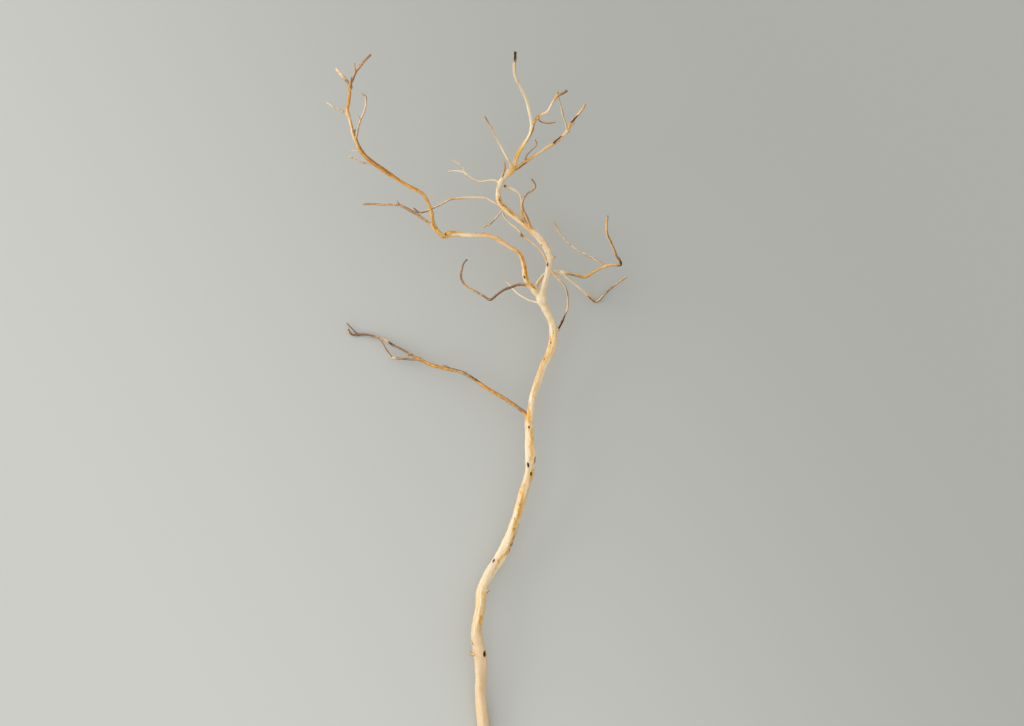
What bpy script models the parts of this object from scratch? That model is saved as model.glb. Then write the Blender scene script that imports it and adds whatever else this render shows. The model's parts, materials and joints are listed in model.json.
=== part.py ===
"""A bare tree branch with its bark gone, lying on the surface that it rests on.

Metres, +Z up. The origin is on that surface, in the middle of the branch's footprint. The thick cut end
points along -Y and the twigs spread towards +Y. The branch rests on its cut end, on the last fork of its low
side branch and on the bend of its right lower arm.

Every limb and twig is a tapered tube along a smooth curve through a few stations. A twig is joined to what
it grows from, and the branch is parted by thin cuts past its main forks, one object for each part.
"""

import math

import bmesh
import bpy
import numpy as np
from mathutils import Vector

MM = 0.001

# Sizes in millimetres: the gap between two parts, the straight stretch beside it, and the curves' sampling
CUT_GAP = 0.3
STRAIGHT_AT_CUT = 1.5
CURVE_STEP = 0.5

# A limb swells by this share at its root, over this many radii of the limb that it grows from
COLLAR_SWELL = 0.35
COLLAR_REACH = 1.2

# Radius of a limb from which a tube has this many sides, and the widest spacing of its rings
TUBE_SIZES = ((5.5, 12, 24.0), (2.6, 8, 22.0), (0.0, 6, 24.0))
# Rings stand closer together where a limb bends, so that none turns by more than about this many degrees
BEND_PER_RING = 25

# Stations of each limb: across, along from the butt cut, height of the centre line, and radius, in millimetres.
# A limb's first station is moved onto the centre line of the limb that it grows from.
STEM = [
    (7, 0, 10.2, 10.4), (7, 22, 10.2, 10.2), (5, 60, 12, 9.7), (2, 100, 16, 9.6), (1, 122, 19, 9.5),
    (1.2, 147, 23, 9.4), (1, 172, 27, 10.2), (-1.5, 188, 29, 10.1), (-5, 206, 31, 9.6), (-6, 223, 32, 9.4),
    (-3.5, 237, 32, 8.9), (0, 256, 30, 8.5), (1.5, 270, 29, 8.3), (3, 284, 28, 8.9), (8, 301, 26, 9.0),
    (17, 319, 25, 9.2), (32, 340, 25, 9.1), (42, 357, 26, 8.8), (50, 377, 29, 8.5), (58, 401, 33, 8.5),
    (66, 427, 38, 8.5), (73, 450, 42, 8.2), (79, 470, 45, 8.0), (84, 490, 46, 8.3), (85, 510, 47, 8.0),
    (84.5, 540, 47, 7.7), (84, 570, 46, 7.5), (86.5, 594, 44, 6.6), (89.5, 615, 42, 6.7), (96, 635, 41, 6.9),
    (103, 655, 42, 6.9), (109, 673, 45, 7.2), (117, 688, 49, 7.1), (122.5, 703, 52, 6.6), (124.6, 722, 55, 6.6),
    (123.5, 738, 58, 6.9), (118, 753, 60, 6.8), (110, 769, 62, 7.0), (104.5, 783, 64, 6.8), (106, 795, 66, 5.6),
    (110, 810, 69, 4.9), (113.5, 824, 72, 4.8), (116.5, 839, 75, 5.0), (118, 850, 77, 6.0), (115, 863, 80, 6.1),
    (108, 877, 83, 6.0), (97, 891, 87, 5.7), (83, 904, 90, 5.5), (66, 918, 93, 5.4), (52, 929, 95, 5.2),
    (41, 939, 96, 4.9), (33.5, 949, 97, 4.9), (31, 958, 98, 4.7), (31.5, 970, 100, 4.2), (35, 981, 102, 4.2),
    (42, 991, 104, 4.5), (50, 999, 105, 4.5), (56, 1005, 106, 3.8), (60, 1018, 107, 3.4), (65, 1031, 109, 3.3),
    (73, 1044, 111, 3.1), (82, 1058, 113, 2.9), (87.5, 1072, 115, 2.9), (86.5, 1088, 119, 2.5),
    (82.5, 1108, 127, 2.3), (79, 1122, 133, 2.3), (71, 1138, 141, 2.3), (64, 1151, 148, 2.1), (59, 1164, 153, 2.1),
    (58, 1178, 156, 2.0), (59.8, 1191, 158, 2.1), (60, 1203, 158, 2.2),
]

LIMBS = {
    # Limb: the limb that it grows from, and its stations
    "butt_spur": ("stem", [(0, 174, 27, 3.0), (-9, 178, 33, 2.4), (-17.5, 183, 36, 1.8)]),
    "lower_nub": ("stem", [(5, 284, 28, 2.4), (11.5, 286, 32, 1.8), (15, 288, 34, 1.3)]),
    "upper_nub": ("stem", [(124, 728, 57, 2.6), (130, 731, 60, 2.0), (134, 731, 61, 1.5)]),
    "bend_spur": ("stem", [(117, 846, 76, 2.4), (123, 852, 79, 1.8), (127.5, 857, 80, 1.2)]),
    "low_side_branch": ("stem", [
        (85, 570, 46, 4.0), (81, 582, 46, 3.5), (76.2, 590.3, 45, 3.0), (68.3, 596.5, 44, 2.8), (50.3, 609, 41, 2.7),
        (30.3, 621, 38, 2.7), (8.3, 634.5, 35, 2.7), (-10, 647, 33, 2.7), (-21, 654.3, 32, 2.7), (-34, 660.2, 30, 2.7),
        (-50, 664, 28, 2.8), (-68, 667.5, 26, 2.6), (-85, 673, 23, 2.7), (-100, 679.5, 20, 2.6),
        (-107, 683.5, 18, 2.2), (-120, 691, 15, 1.7), (-137, 700, 12, 1.6), (-150, 706.5, 10.5, 1.6),
        (-159, 713, 9, 1.7), (-172, 717, 6.5, 1.7), (-186, 722, 4, 1.7), (-196, 723.5, 2.7, 1.7),
        (-209, 723, 1.7, 1.6), (-216, 722.5, 1.8, 1.3), (-220.5, 725.5, 3.5, 1.2), (-224, 732.5, 8, 1.1)]),
    "low_tip_twig": ("low_side_branch", [
        (-209, 723, 2, 1.6), (-213, 728, 5, 1.3), (-219, 734.5, 9, 1.2), (-227, 743, 14, 1.1)]),
    "low_fork_arm": ("low_side_branch", [
        (-104, 681, 19, 2.0), (-114, 681, 17, 1.6), (-128, 682, 13.5, 1.6), (-145, 683.3, 9, 1.5),
        (-150, 684.5, 8, 1.4), (-154, 690, 11, 1.2), (-161, 700, 17, 1.1), (-168, 712, 22, 1.0),
        (-174, 718, 23, 0.9)]),
    "low_fork_stub": ("low_side_branch", [(-117, 689.5, 16, 1.2), (-121, 688.5, 21, 1.0), (-123, 686, 25, 0.8)]),
    "low_bark_snag": ("low_side_branch", [(-49, 664, 28, 1.5), (-55, 668, 32, 1.1), (-63, 671, 34, 0.8)]),
    "pale_twig": ("stem", [
        (108, 775, 63, 1.8), (97, 778, 58, 1.4), (84, 781.5, 54, 1.2), (70, 789, 50, 1.1), (59, 797.5, 47, 1.1),
        (51, 807, 45, 1.0), (43, 815, 43, 0.9)]),
    "left_limb": ("stem", [
        (104, 784, 64, 5.4), (98, 792, 67, 5.0), (89, 802, 70, 4.6), (81, 812, 73, 4.3), (76.5, 824, 77, 4.2),
        (75, 838, 82, 3.9), (71.5, 852, 87, 3.9), (64, 864, 92, 3.7), (52, 871, 96, 3.7), (38, 879.5, 100, 3.9),
        (26, 887, 103, 4.0), (12, 891.5, 105, 4.0), (-8, 892, 106, 3.9), (-28, 893, 108, 4.3),
        (-41, 894.5, 110, 4.4), (-53, 894, 112, 5.0), (-61.5, 890.5, 114, 4.2), (-69, 896, 116, 3.4),
        (-77, 905.5, 118, 3.6), (-80.5, 918, 120, 3.2), (-82, 930, 122, 3.1), (-86, 942, 125, 2.7),
        (-91, 954, 129, 2.7), (-99, 963.5, 133, 2.9), (-114, 971.5, 139, 3.1), (-130, 980.5, 145, 3.2),
        (-148, 992, 151, 3.3), (-166, 1004, 157, 3.4), (-184, 1016.5, 162, 3.5), (-199, 1031, 166, 3.6),
        (-208.5, 1048, 169, 3.1), (-215, 1064, 171, 2.9), (-219.5, 1084, 172, 2.8), (-224.5, 1102, 173, 2.9),
        (-222.8, 1115, 175, 2.7), (-220.5, 1132, 178, 2.8), (-219.5, 1147, 181, 2.6), (-214.5, 1157, 185, 1.9),
        (-210.5, 1168, 190, 1.8), (-201, 1180, 197, 1.8), (-192, 1190.5, 203, 1.9), (-184.5, 1197, 207, 1.9)]),
    "hook_twig": ("left_limb", [
        (86.5, 805, 71, 2.6), (77, 808, 75, 2.2), (66, 808.5, 80, 2.1), (52, 803.5, 86, 2.1), (40, 799, 90, 2.1),
        (27, 789.5, 94, 2.0), (19, 783, 96, 2.1), (15.5, 783, 96, 2.0), (4, 790, 92, 1.7), (-12, 799, 86, 1.5),
        (-25, 807.5, 80, 1.5), (-30.5, 815, 77, 1.7), (-32.5, 823, 75, 1.8), (-30.5, 835, 74, 1.6),
        (-26.5, 846, 75, 1.4), (-21.5, 851, 76, 1.5)]),
    "left_side_twig": ("left_limb", [
        (-78, 905, 118, 2.4), (-88, 914, 112, 2.0), (-99, 921.5, 105, 1.9), (-108, 928, 99, 2.0),
        (-122, 936, 90, 2.0), (-136, 943, 81, 1.8), (-150, 944.3, 73, 1.4), (-167, 944.5, 64, 1.4),
        (-184, 945.3, 56, 1.4), (-199.5, 944.5, 50, 1.2)]),
    "left_side_spur": ("left_side_twig", [(-135, 942, 82, 1.1), (-139, 947, 84, 0.9), (-141, 951.5, 86, 0.7)]),
    "curled_twig": ("left_limb", [
        (-211, 1053, 170, 1.9), (-208.5, 1062, 174, 1.5), (-206, 1075, 181, 1.3), (-201, 1090, 188, 1.3),
        (-195.5, 1102, 194, 1.3), (-193.2, 1115, 198, 1.3), (-194, 1126.5, 201, 1.3), (-200.5, 1132, 202, 1.1)]),
    "curled_twig_bud": ("curled_twig", [(-203.5, 1085, 186, 0.9), (-205, 1091, 190, 0.8), (-207, 1096, 193, 0.6)]),
    "crotch_stub": ("left_limb", [(-214.5, 1061, 171, 1.3), (-212.5, 1066, 175, 1.0), (-211.5, 1071, 178, 0.9)]),
    "outer_twig": ("left_limb", [
        (-223, 1097, 173, 1.7), (-231, 1101, 169, 1.3), (-244, 1107.5, 163, 1.2), (-254, 1112.5, 158, 1.1),
        (-261, 1118, 154, 1.0)]),
    "short_pale_twig": ("left_limb", [
        (-201, 1031, 166, 1.7), (-208, 1034.5, 170, 1.3), (-216.5, 1034.5, 174, 1.0)]),
    "drooping_hair_twig": ("left_limb", [
        (-184, 1017, 162, 1.3), (-193, 1013.5, 158, 1.0), (-203, 1016.5, 154, 0.9), (-214, 1022.5, 150, 0.9),
        (-224, 1027, 147, 0.8)]),
    "fork_tine": ("left_limb", [
        (-220, 1143, 180, 2.4), (-224, 1150, 180, 2.0), (-230, 1158.5, 179, 1.9), (-237, 1166, 176, 2.0),
        (-243.5, 1174.5, 172, 1.8)]),
    "fork_stub": ("left_limb", [(-219.5, 1146, 181, 1.5), (-218.5, 1153, 186, 1.0), (-217.5, 1159, 189, 0.8)]),
    "needle_twig": ("left_limb", [(-211.5, 1165, 189, 1.2), (-211.8, 1174, 193, 0.8), (-212.5, 1184, 197, 0.7)]),
    "right_branch": ("left_limb", [
        (94, 797, 68, 3.4), (96.5, 808.5, 62, 2.8), (101.5, 817, 58, 2.6), (108.5, 824.3, 56, 2.5), (118, 829, 55, 2.5),
        (129, 829.3, 54, 2.5), (141, 828, 53, 2.4), (153, 826, 52, 2.0), (167, 823.3, 49, 2.0),
        (177, 821, 47, 2.0), (183, 823.5, 48, 2.0), (195, 831, 52, 2.0), (210, 838, 57, 2.1),
        (224, 842, 63, 2.1), (234, 841.5, 67, 2.2), (238.5, 842.5, 69, 2.1), (236.5, 850, 74, 2.1),
        (231.5, 857, 79, 1.9), (226.5, 869, 86, 1.9), (221, 882, 94, 1.7), (216.5, 892, 99, 1.6),
        (215, 904, 103, 1.5), (217, 925, 109, 1.3)]),
    "right_thin_arc": ("right_branch", [
        (214, 839, 58, 1.7), (205, 846.5, 54, 1.4), (193, 853, 49, 1.3), (176, 861, 42, 1.3), (161, 870, 35, 1.2),
        (147, 882, 28, 1.2), (135, 896, 21, 1.2), (127.5, 909, 16, 1.1), (125, 919, 13, 1.0)]),
    "right_lower_arm": ("right_branch", [
        (140, 828, 53, 2.6), (146, 822, 50, 2.3), (157, 812.5, 40, 2.2), (170, 802, 28, 2.1), (182, 791.5, 15, 2.1),
        (190, 784, 6, 2.0), (196, 780.3, 1.9, 1.9), (201, 781.3, 2.6, 1.7), (209, 789, 8, 1.6),
        (219, 798.5, 15, 1.5), (230, 808, 21, 1.5), (241, 815.5, 26, 1.4), (249.5, 822, 30, 1.3)]),
    "drooping_twig": ("right_branch", [
        (122, 829, 55, 2.2), (127, 822.5, 61, 1.9), (134.5, 816.5, 68, 1.6), (142.5, 807.5, 75, 1.5),
        (148, 795, 80, 1.5), (149.5, 782, 82, 1.5), (148.7, 768, 81, 1.5), (143.5, 754, 79, 1.5),
        (139, 743.5, 77, 1.7), (133.5, 733.5, 76, 1.6)]),
    "drooping_twig_bud": ("drooping_twig", [(141, 748, 78, 1.2), (138, 747, 81, 0.9), (136, 745.5, 84, 0.7)]),
    "inner_twig": ("stem", [
        (117, 840, 75, 2.0), (113.8, 847, 81, 1.5), (109, 857, 85, 1.3), (102, 867, 87, 1.3), (90, 877.5, 88, 1.3),
        (78, 886.5, 88, 1.5), (71, 891.5, 88, 2.2), (67.5, 898, 87, 1.5), (61, 904.5, 86, 1.3), (50, 913, 83, 1.3),
        (42, 921.5, 80, 1.3), (38, 931, 78, 1.1)]),
    "crossing_twig": ("stem", [
        (86, 902, 90, 2.4), (83, 913, 97, 1.9), (79, 924, 103, 1.9), (73.5, 934, 107, 1.8), (71.8, 944, 110, 1.6),
        (74, 953, 114, 1.5), (81, 962.5, 119, 1.4), (91.5, 970, 124, 1.4), (94, 975, 127, 1.4),
        (92, 981, 130, 1.3), (87.5, 987, 133, 1.2)]),
    "bowed_twig": ("stem", [
        (79, 907, 91, 2.4), (75, 919, 94, 1.9), (71, 930, 95, 1.8), (70, 943, 96, 1.7), (70.5, 953, 98, 1.6),
        (66.5, 962, 101, 1.7), (56.5, 969.5, 107, 1.7), (41, 976, 113, 1.9)]),
    "bowed_twig_snag": ("stem", [(77, 909, 91, 1.4), (73.5, 913.5, 98, 1.1), (70, 918, 101, 0.8)]),
    "knobby_twig": ("stem", [
        (44, 937, 96, 1.9), (36, 932.5, 92, 1.3), (29, 923, 88, 1.2), (24, 918.5, 86, 1.5), (17, 911, 84, 1.3),
        (11, 909, 83, 1.3), (7, 906, 82, 1.6)]),
    "long_thin_twig": ("stem", [
        (41, 938, 96, 2.6), (28, 945, 98, 1.8), (18, 950.5, 99, 1.6), (10, 954.5, 100, 1.5), (-10, 956, 102, 1.5),
        (-32, 955, 104, 1.5), (-50, 952.5, 106, 1.4), (-65, 945, 107, 1.3), (-80, 938, 107.5, 1.3),
        (-94, 932, 108.5, 1.4), (-104, 931, 110, 1.5), (-113, 938, 113, 1.2)]),
    "side_fork_twig": ("stem", [
        (34, 981, 102, 2.2), (24, 985, 105, 1.5), (10, 984, 108, 1.3), (0, 983, 110, 1.3), (-8, 985.5, 112, 1.3),
        (-17, 990.5, 114, 1.4), (-25.5, 998, 116, 1.3), (-28.5, 1006, 118, 1.0), (-37, 1013.5, 121, 1.0),
        (-49, 1020, 124, 0.9)]),
    "side_fork_tine": ("side_fork_twig", [
        (-23, 996, 115, 1.3), (-31, 999.8, 114, 1.1), (-43, 1001, 112, 1.0), (-55, 999.5, 110, 0.9)]),
    "upright_stub": ("stem", [(36, 983, 102, 2.0), (38, 994, 109, 1.4), (41.5, 1001.5, 113, 1.2),
                              (42, 1009, 115, 1.2), (41.5, 1017, 117, 1.0)]),
    "slanting_twig": ("stem", [
        (55.5, 1002, 106, 2.2), (51, 1013, 110, 1.7), (44, 1026, 115, 1.7), (34.5, 1044, 123, 1.6),
        (26, 1060.5, 131, 1.4), (18, 1076.5, 139, 1.3), (8, 1092.5, 147, 1.3)]),
    "outer_right_branch": ("stem", [
        (51.5, 999, 105, 3.2), (62, 1005.5, 104, 2.8), (78, 1017.5, 101, 2.6), (94, 1027.5, 98, 2.6),
        (112, 1039, 95, 2.5), (126, 1048.5, 92, 2.5), (139, 1059, 88, 2.4), (148.5, 1069, 84, 2.4),
        (152.5, 1078, 82, 2.0), (159, 1088, 79, 1.9), (170, 1101, 74, 1.6), (175.5, 1109, 71, 1.5),
        (178.5, 1115, 69, 1.7)]),
    "bent_riser": ("outer_right_branch", [
        (77, 1016.5, 101, 1.6), (78.5, 1026, 106, 1.2), (87, 1036, 110, 1.1), (95, 1043.5, 113, 1.1),
        (96, 1048, 114, 1.1), (92, 1056, 117, 1.0)]),
    "cross_riser": ("outer_right_branch", [
        (148, 1068.5, 84, 1.7), (146.5, 1078, 89, 1.2), (142, 1092, 97, 1.2), (137.5, 1110, 106, 1.2),
        (134.5, 1122, 111, 1.0)]),
    "outer_right_bud": ("outer_right_branch", [(153, 1079, 82, 1.2), (157.5, 1080.5, 84, 1.0), (161, 1083, 86, 0.8)]),
    "outer_right_nub": ("outer_right_branch", [(147, 1068, 84, 1.6), (151.5, 1068.5, 87, 1.1), (153, 1070, 89, 0.9)]),
    "knuckle_arm": ("stem", [
        (87, 1071, 115, 2.5), (91.5, 1082, 117, 2.1), (97.5, 1091.5, 119, 2.1), (106, 1097, 121, 1.9),
        (114.5, 1101.5, 123, 1.8), (119.5, 1110, 125, 1.8), (125, 1120, 127, 1.8), (130.5, 1127.5, 129, 2.1),
        (133.5, 1129.5, 130, 2.2), (140, 1132.5, 132, 1.9), (148, 1137, 135, 1.9)]),
    "knuckle_spur": ("knuckle_arm", [(131, 1128, 129, 1.3), (131.5, 1133, 132, 1.0), (131.5, 1137, 134, 0.8)]),
    "knuckle_down_twig": ("knuckle_arm", [
        (98.5, 1092, 119, 1.4), (100.5, 1087, 117, 1.1), (107, 1083.5, 114, 1.0), (117, 1082.5, 111, 1.0),
        (128, 1084, 108, 0.8)]),
}

# Where a limb is cut, as a distance along its centre line in millimetres, and the part that starts there.
# Before its first cut a limb belongs to the part that it grows from.
CUTS = {
    "stem": ((0, "butt_stem"), (625, "middle_stem"), (850, "crown_stem"), (1145, "top_leader")),
    "low_side_branch": ((22, "low_side_branch"),),
    "left_limb": ((24, "left_limb"), (292, "upper_left_limb")),
    "hook_twig": ((11, "hook_twig"),),
    "left_side_twig": ((12, "left_side_twig"),),
    "right_branch": ((19, "right_branch"),),
    "right_lower_arm": ((9, "right_lower_arm"),),
    "drooping_twig": ((9, "drooping_twig"),),
    "outer_right_branch": ((14, "outer_right_branch"),),
}

# Holes left by lost twigs, on the side that faces up: across, along, half width, half length, and lean in degrees
KNOT_HOLES = {
    "butt_stem": ((8.5, 181, 2.3, 5.2, 8), (23.5, 338, 1.6, 3.2, -35), (82, 502, 1.6, 4.2, -8),
                  (87.5, 486.5, 1.7, 3.6, -12), (83.5, 565.5, 1.2, 2.2, 0)),
    "crown_stem": ((115, 843, 1.4, 3.2, 5),),
    "left_limb": ((-59, 893, 1.4, 1.8, 0),),
}
HOLE_DEPTH = 2.6

# The part's colour, roughness
PALE_WOOD = ((0.78, 0.62, 0.42), 0.55)
HONEY_WOOD = ((0.66, 0.42, 0.18), 0.5)
BROWN_TWIG = ((0.32, 0.2, 0.12), 0.6)
PART_WOOD = {
    "butt_stem": PALE_WOOD, "middle_stem": PALE_WOOD, "crown_stem": PALE_WOOD, "left_limb": PALE_WOOD,
    "top_leader": PALE_WOOD, "upper_left_limb": HONEY_WOOD, "low_side_branch": HONEY_WOOD,
    "left_side_twig": HONEY_WOOD, "right_branch": HONEY_WOOD, "right_lower_arm": HONEY_WOOD,
    "drooping_twig": HONEY_WOOD, "outer_right_branch": HONEY_WOOD, "hook_twig": BROWN_TWIG,
}


def clear_scene():
    for obj in list(bpy.data.objects):
        bpy.data.objects.remove(obj, do_unlink=True)


def smooth_curve(stations):
    """A centripetal Catmull-Rom curve through the stations: distances along it, points and radii."""
    knots = np.array(stations, float)
    knots = np.vstack([2 * knots[0] - knots[1], knots, 2 * knots[-1] - knots[-2]])
    gaps = np.linalg.norm(np.diff(knots[:, :3], axis=0), axis=1) ** 0.5
    times = np.concatenate([[0], np.cumsum(gaps)])
    samples = []
    for i in range(1, len(knots) - 2):
        count = max(2, math.ceil(np.linalg.norm(knots[i + 1, :3] - knots[i, :3]) / CURVE_STEP))
        t = np.linspace(times[i], times[i + 1], count, endpoint=False)[:, None]
        t0, t1, t2, t3 = times[i - 1 : i + 3]
        p0, p1, p2, p3 = knots[i - 1 : i + 3]
        a1 = (p0 * (t1 - t) + p1 * (t - t0)) / (t1 - t0)
        a2 = (p1 * (t2 - t) + p2 * (t - t1)) / (t2 - t1)
        a3 = (p2 * (t3 - t) + p3 * (t - t2)) / (t3 - t2)
        b1 = (a1 * (t2 - t) + a2 * (t - t0)) / (t2 - t0)
        b2 = (a2 * (t3 - t) + a3 * (t - t1)) / (t3 - t1)
        samples.append((b1 * (t2 - t) + b2 * (t - t1)) / (t2 - t1))
    samples = np.vstack(samples + [knots[-2:-1]])
    steps = np.linalg.norm(np.diff(samples[:, :3], axis=0), axis=1)
    return np.concatenate([[0], np.cumsum(steps)]), samples[:, :3], samples[:, 3]


def nearest_in_plan(curve, across, along):
    """Index of the sample of a curve that lies nearest to a place seen from above."""
    return int(np.argmin(np.hypot(curve[1][:, 0] - across, curve[1][:, 1] - along)))


def grow_limbs():
    """The curve of every limb, and for each the limb and distance along it that it grows from."""
    curves, roots = {"stem": smooth_curve(STEM)}, {}
    for name, (parent, stations) in LIMBS.items():
        distances, points, radii = curves[parent]
        i = nearest_in_plan(curves[parent], *stations[0][:2])
        curve = smooth_curve([(*points[i], stations[0][3]), *stations[1:]])
        swell = 1 + COLLAR_SWELL * np.exp(-((curve[0] / (COLLAR_REACH * radii[i])) ** 2))
        curves[name] = (curve[0], curve[1], curve[2] * swell)
        roots[name] = (parent, distances[i])
    return curves, roots


def part_at(limb, distance, roots):
    """The part that holds a limb at a distance along it."""
    started = [part for start, part in CUTS.get(limb, ()) if start <= distance]
    if started:
        return started[-1]
    return part_at(*roots[limb], roots)


def at_distance(curve, distance):
    """Point, direction and radius of a curve at a distance along it."""
    distances, points, radii = curve
    point = np.array([np.interp(distance, distances, points[:, k]) for k in range(3)])
    near = np.array([np.interp(distance - CURVE_STEP, distances, points[:, k]) for k in range(3)])
    far = np.array([np.interp(distance + CURVE_STEP, distances, points[:, k]) for k in range(3)])
    return point, (far - near) / np.linalg.norm(far - near), np.interp(distance, distances, radii)


def ring_places(curve, first, last, step):
    """Distances along a limb for its rings, closer together where it bends."""
    distances, points, _ = curve
    ways = np.gradient(points, axis=0)
    ways /= np.linalg.norm(ways, axis=1)[:, None]
    bends = np.degrees(np.arccos(np.clip((ways[1:] * ways[:-1]).sum(axis=1), -1, 1)))
    need = np.concatenate([[0], np.cumsum(np.diff(distances) / step + bends / BEND_PER_RING)])
    ends = np.interp([first, last], distances, need)
    return np.interp(np.linspace(*ends, math.ceil(ends[1] - ends[0]) + 1), need, distances)


def tube_points(curve, start, end, step):
    """Points and radii of a stretch of a limb. Beside a cut it runs straight, so that the cut is square."""
    length = curve[0][-1]
    first, last = start, min(end, length)
    rings = []
    if start > 0:
        point, way, radius = at_distance(curve, start)
        rings += [(point + way * reach, radius) for reach in (CUT_GAP / 2, STRAIGHT_AT_CUT)]
        first = start + 2 * STRAIGHT_AT_CUT
    if end < length:
        last = end - 2 * STRAIGHT_AT_CUT
    for distance in ring_places(curve, first, last, step):
        point, _, radius = at_distance(curve, distance)
        rings.append((point, radius))
    if end < length:
        point, way, radius = at_distance(curve, end)
        rings += [(point - way * reach, radius) for reach in (STRAIGHT_AT_CUT, CUT_GAP / 2)]
    return rings


def new_tube(name, rings, sides, collection):
    """A closed tube through rings of points and radii."""
    curve = bpy.data.curves.new(name, "CURVE")
    curve.dimensions = "3D"
    curve.bevel_depth = MM
    curve.bevel_resolution = (sides - 4) // 2
    curve.use_fill_caps = True
    spline = curve.splines.new("POLY")
    spline.points.add(len(rings) - 1)
    for spot, (point, radius) in zip(spline.points, rings):
        spot.co = (*(point * MM), 1)
        spot.radius = radius
    guide = bpy.data.objects.new(name + "_guide", curve)
    bpy.context.scene.collection.objects.link(guide)
    bpy.context.view_layer.update()
    mesh = bpy.data.meshes.new_from_object(guide.evaluated_get(bpy.context.evaluated_depsgraph_get()))
    mesh.name = name
    shell = bmesh.new()
    shell.from_mesh(mesh)
    bmesh.ops.remove_doubles(shell, verts=shell.verts, dist=0.01 * MM)
    bmesh.ops.recalc_face_normals(shell, faces=shell.faces)
    shell.to_mesh(mesh)
    shell.free()
    tube = bpy.data.objects.new(name, mesh)
    tube.matrix_world = guide.matrix_world
    collection.objects.link(tube)
    bpy.data.objects.remove(guide, do_unlink=True)
    return tube


def limb_tubes(curves, roots, helpers):
    """For each part, the tubes that it is joined from."""
    found = {}
    for limb, curve in curves.items():
        length = curve[0][-1]
        starts = [start for start, _ in CUTS.get(limb, ())]
        if not starts or starts[0] > 0:
            starts = [0, *starts]
        for start, end in zip(starts, [*starts[1:], length]):
            inside = (curve[0] >= start) & (curve[0] <= end)
            thickness = float(np.median(curve[2][inside]))
            sides, step = next(size[1:] for size in TUBE_SIZES if thickness >= size[0])
            rings = tube_points(curve, start, end, step)
            part = part_at(limb, start, roots)
            tube = new_tube(f"{limb}_from_{start}", rings, sides, helpers)
            found.setdefault(part, []).append((math.pi * thickness**2 * (end - start), tube))
    return {part: [tube for _, tube in sorted(tubes, key=lambda t: -t[0])] for part, tubes in found.items()}


def as_helper(obj):
    obj.hide_render = True
    obj.display_type = "WIRE"


def add_boolean(body, other, operation):
    change = body.modifiers.new(other.name, "BOOLEAN")
    change.operation = operation
    change.object = other
    as_helper(other)


def new_hole_cutter(part, number, hole, curves, helpers):
    """An egg that takes a lost twig's hole out of the upper side of a limb."""
    across, along, half_width, half_length, lean = hole
    curve = curves["left_limb" if part == "left_limb" else "stem"]
    i = nearest_in_plan(curve, across, along)
    aside = np.hypot(curve[1][i, 0] - across, curve[1][i, 1] - along)
    height = curve[1][i, 2] + math.sqrt(max(0.0, curve[2][i] ** 2 - aside**2))
    bpy.ops.mesh.primitive_uv_sphere_add(segments=10, ring_count=6, location=Vector((across, along, height)) * MM)
    egg = bpy.context.object
    egg.name = f"{part}_hole_{number}"
    egg.scale = (half_width * MM, half_length * MM, HOLE_DEPTH * MM)
    egg.rotation_euler = (0, 0, math.radians(-lean))
    for collection in list(egg.users_collection):
        collection.objects.unlink(egg)
    helpers.objects.link(egg)
    return egg


def new_wood(part):
    (red, green, blue), roughness = PART_WOOD[part]
    wood = bpy.data.materials.new(part + "_wood")
    wood.use_nodes = True
    surface = wood.node_tree.nodes["Principled BSDF"]
    surface.inputs["Base Color"].default_value = (red, green, blue, 1)
    surface.inputs["Roughness"].default_value = roughness
    surface.inputs["Metallic"].default_value = 0
    return wood


def footprint_middle(bodies):
    """The point on the ground below the middle of the parts' box."""
    bpy.context.view_layer.update()
    graph = bpy.context.evaluated_depsgraph_get()
    corners = []
    for body in bodies:
        shape = body.evaluated_get(graph)
        corners += [shape.matrix_world @ vertex.co for vertex in shape.data.vertices]
    low = Vector(min(corner[k] for corner in corners) for k in range(3))
    high = Vector(max(corner[k] for corner in corners) for k in range(3))
    return Vector(((low.x + high.x) / 2, (low.y + high.y) / 2, low.z))


def build():
    clear_scene()
    branch = bpy.data.collections.new("tree_branch")
    helpers = bpy.data.collections.new("cutters")
    for collection in (branch, helpers):
        bpy.context.scene.collection.children.link(collection)
    curves, roots = grow_limbs()
    bodies = []
    for part, (body, *joined) in limb_tubes(curves, roots, helpers).items():
        body.name = part
        helpers.objects.unlink(body)
        branch.objects.link(body)
        body.data.materials.append(new_wood(part))
        for tube in joined:
            add_boolean(body, tube, "UNION")
        for number, hole in enumerate(KNOT_HOLES.get(part, ())):
            add_boolean(body, new_hole_cutter(part, number, hole, curves, helpers), "DIFFERENCE")
        body.data.shade_smooth()
        body.data.set_sharp_from_angle(angle=math.radians(50))
        bodies.append(body)
    middle = footprint_middle(bodies)
    for obj in (*branch.objects, *helpers.objects):
        obj.location -= middle


build()
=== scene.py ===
import json
import math
from collections import namedtuple

import bmesh
import bpy
import numpy as np
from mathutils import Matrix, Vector, noise
from mathutils.kdtree import KDTree

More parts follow.
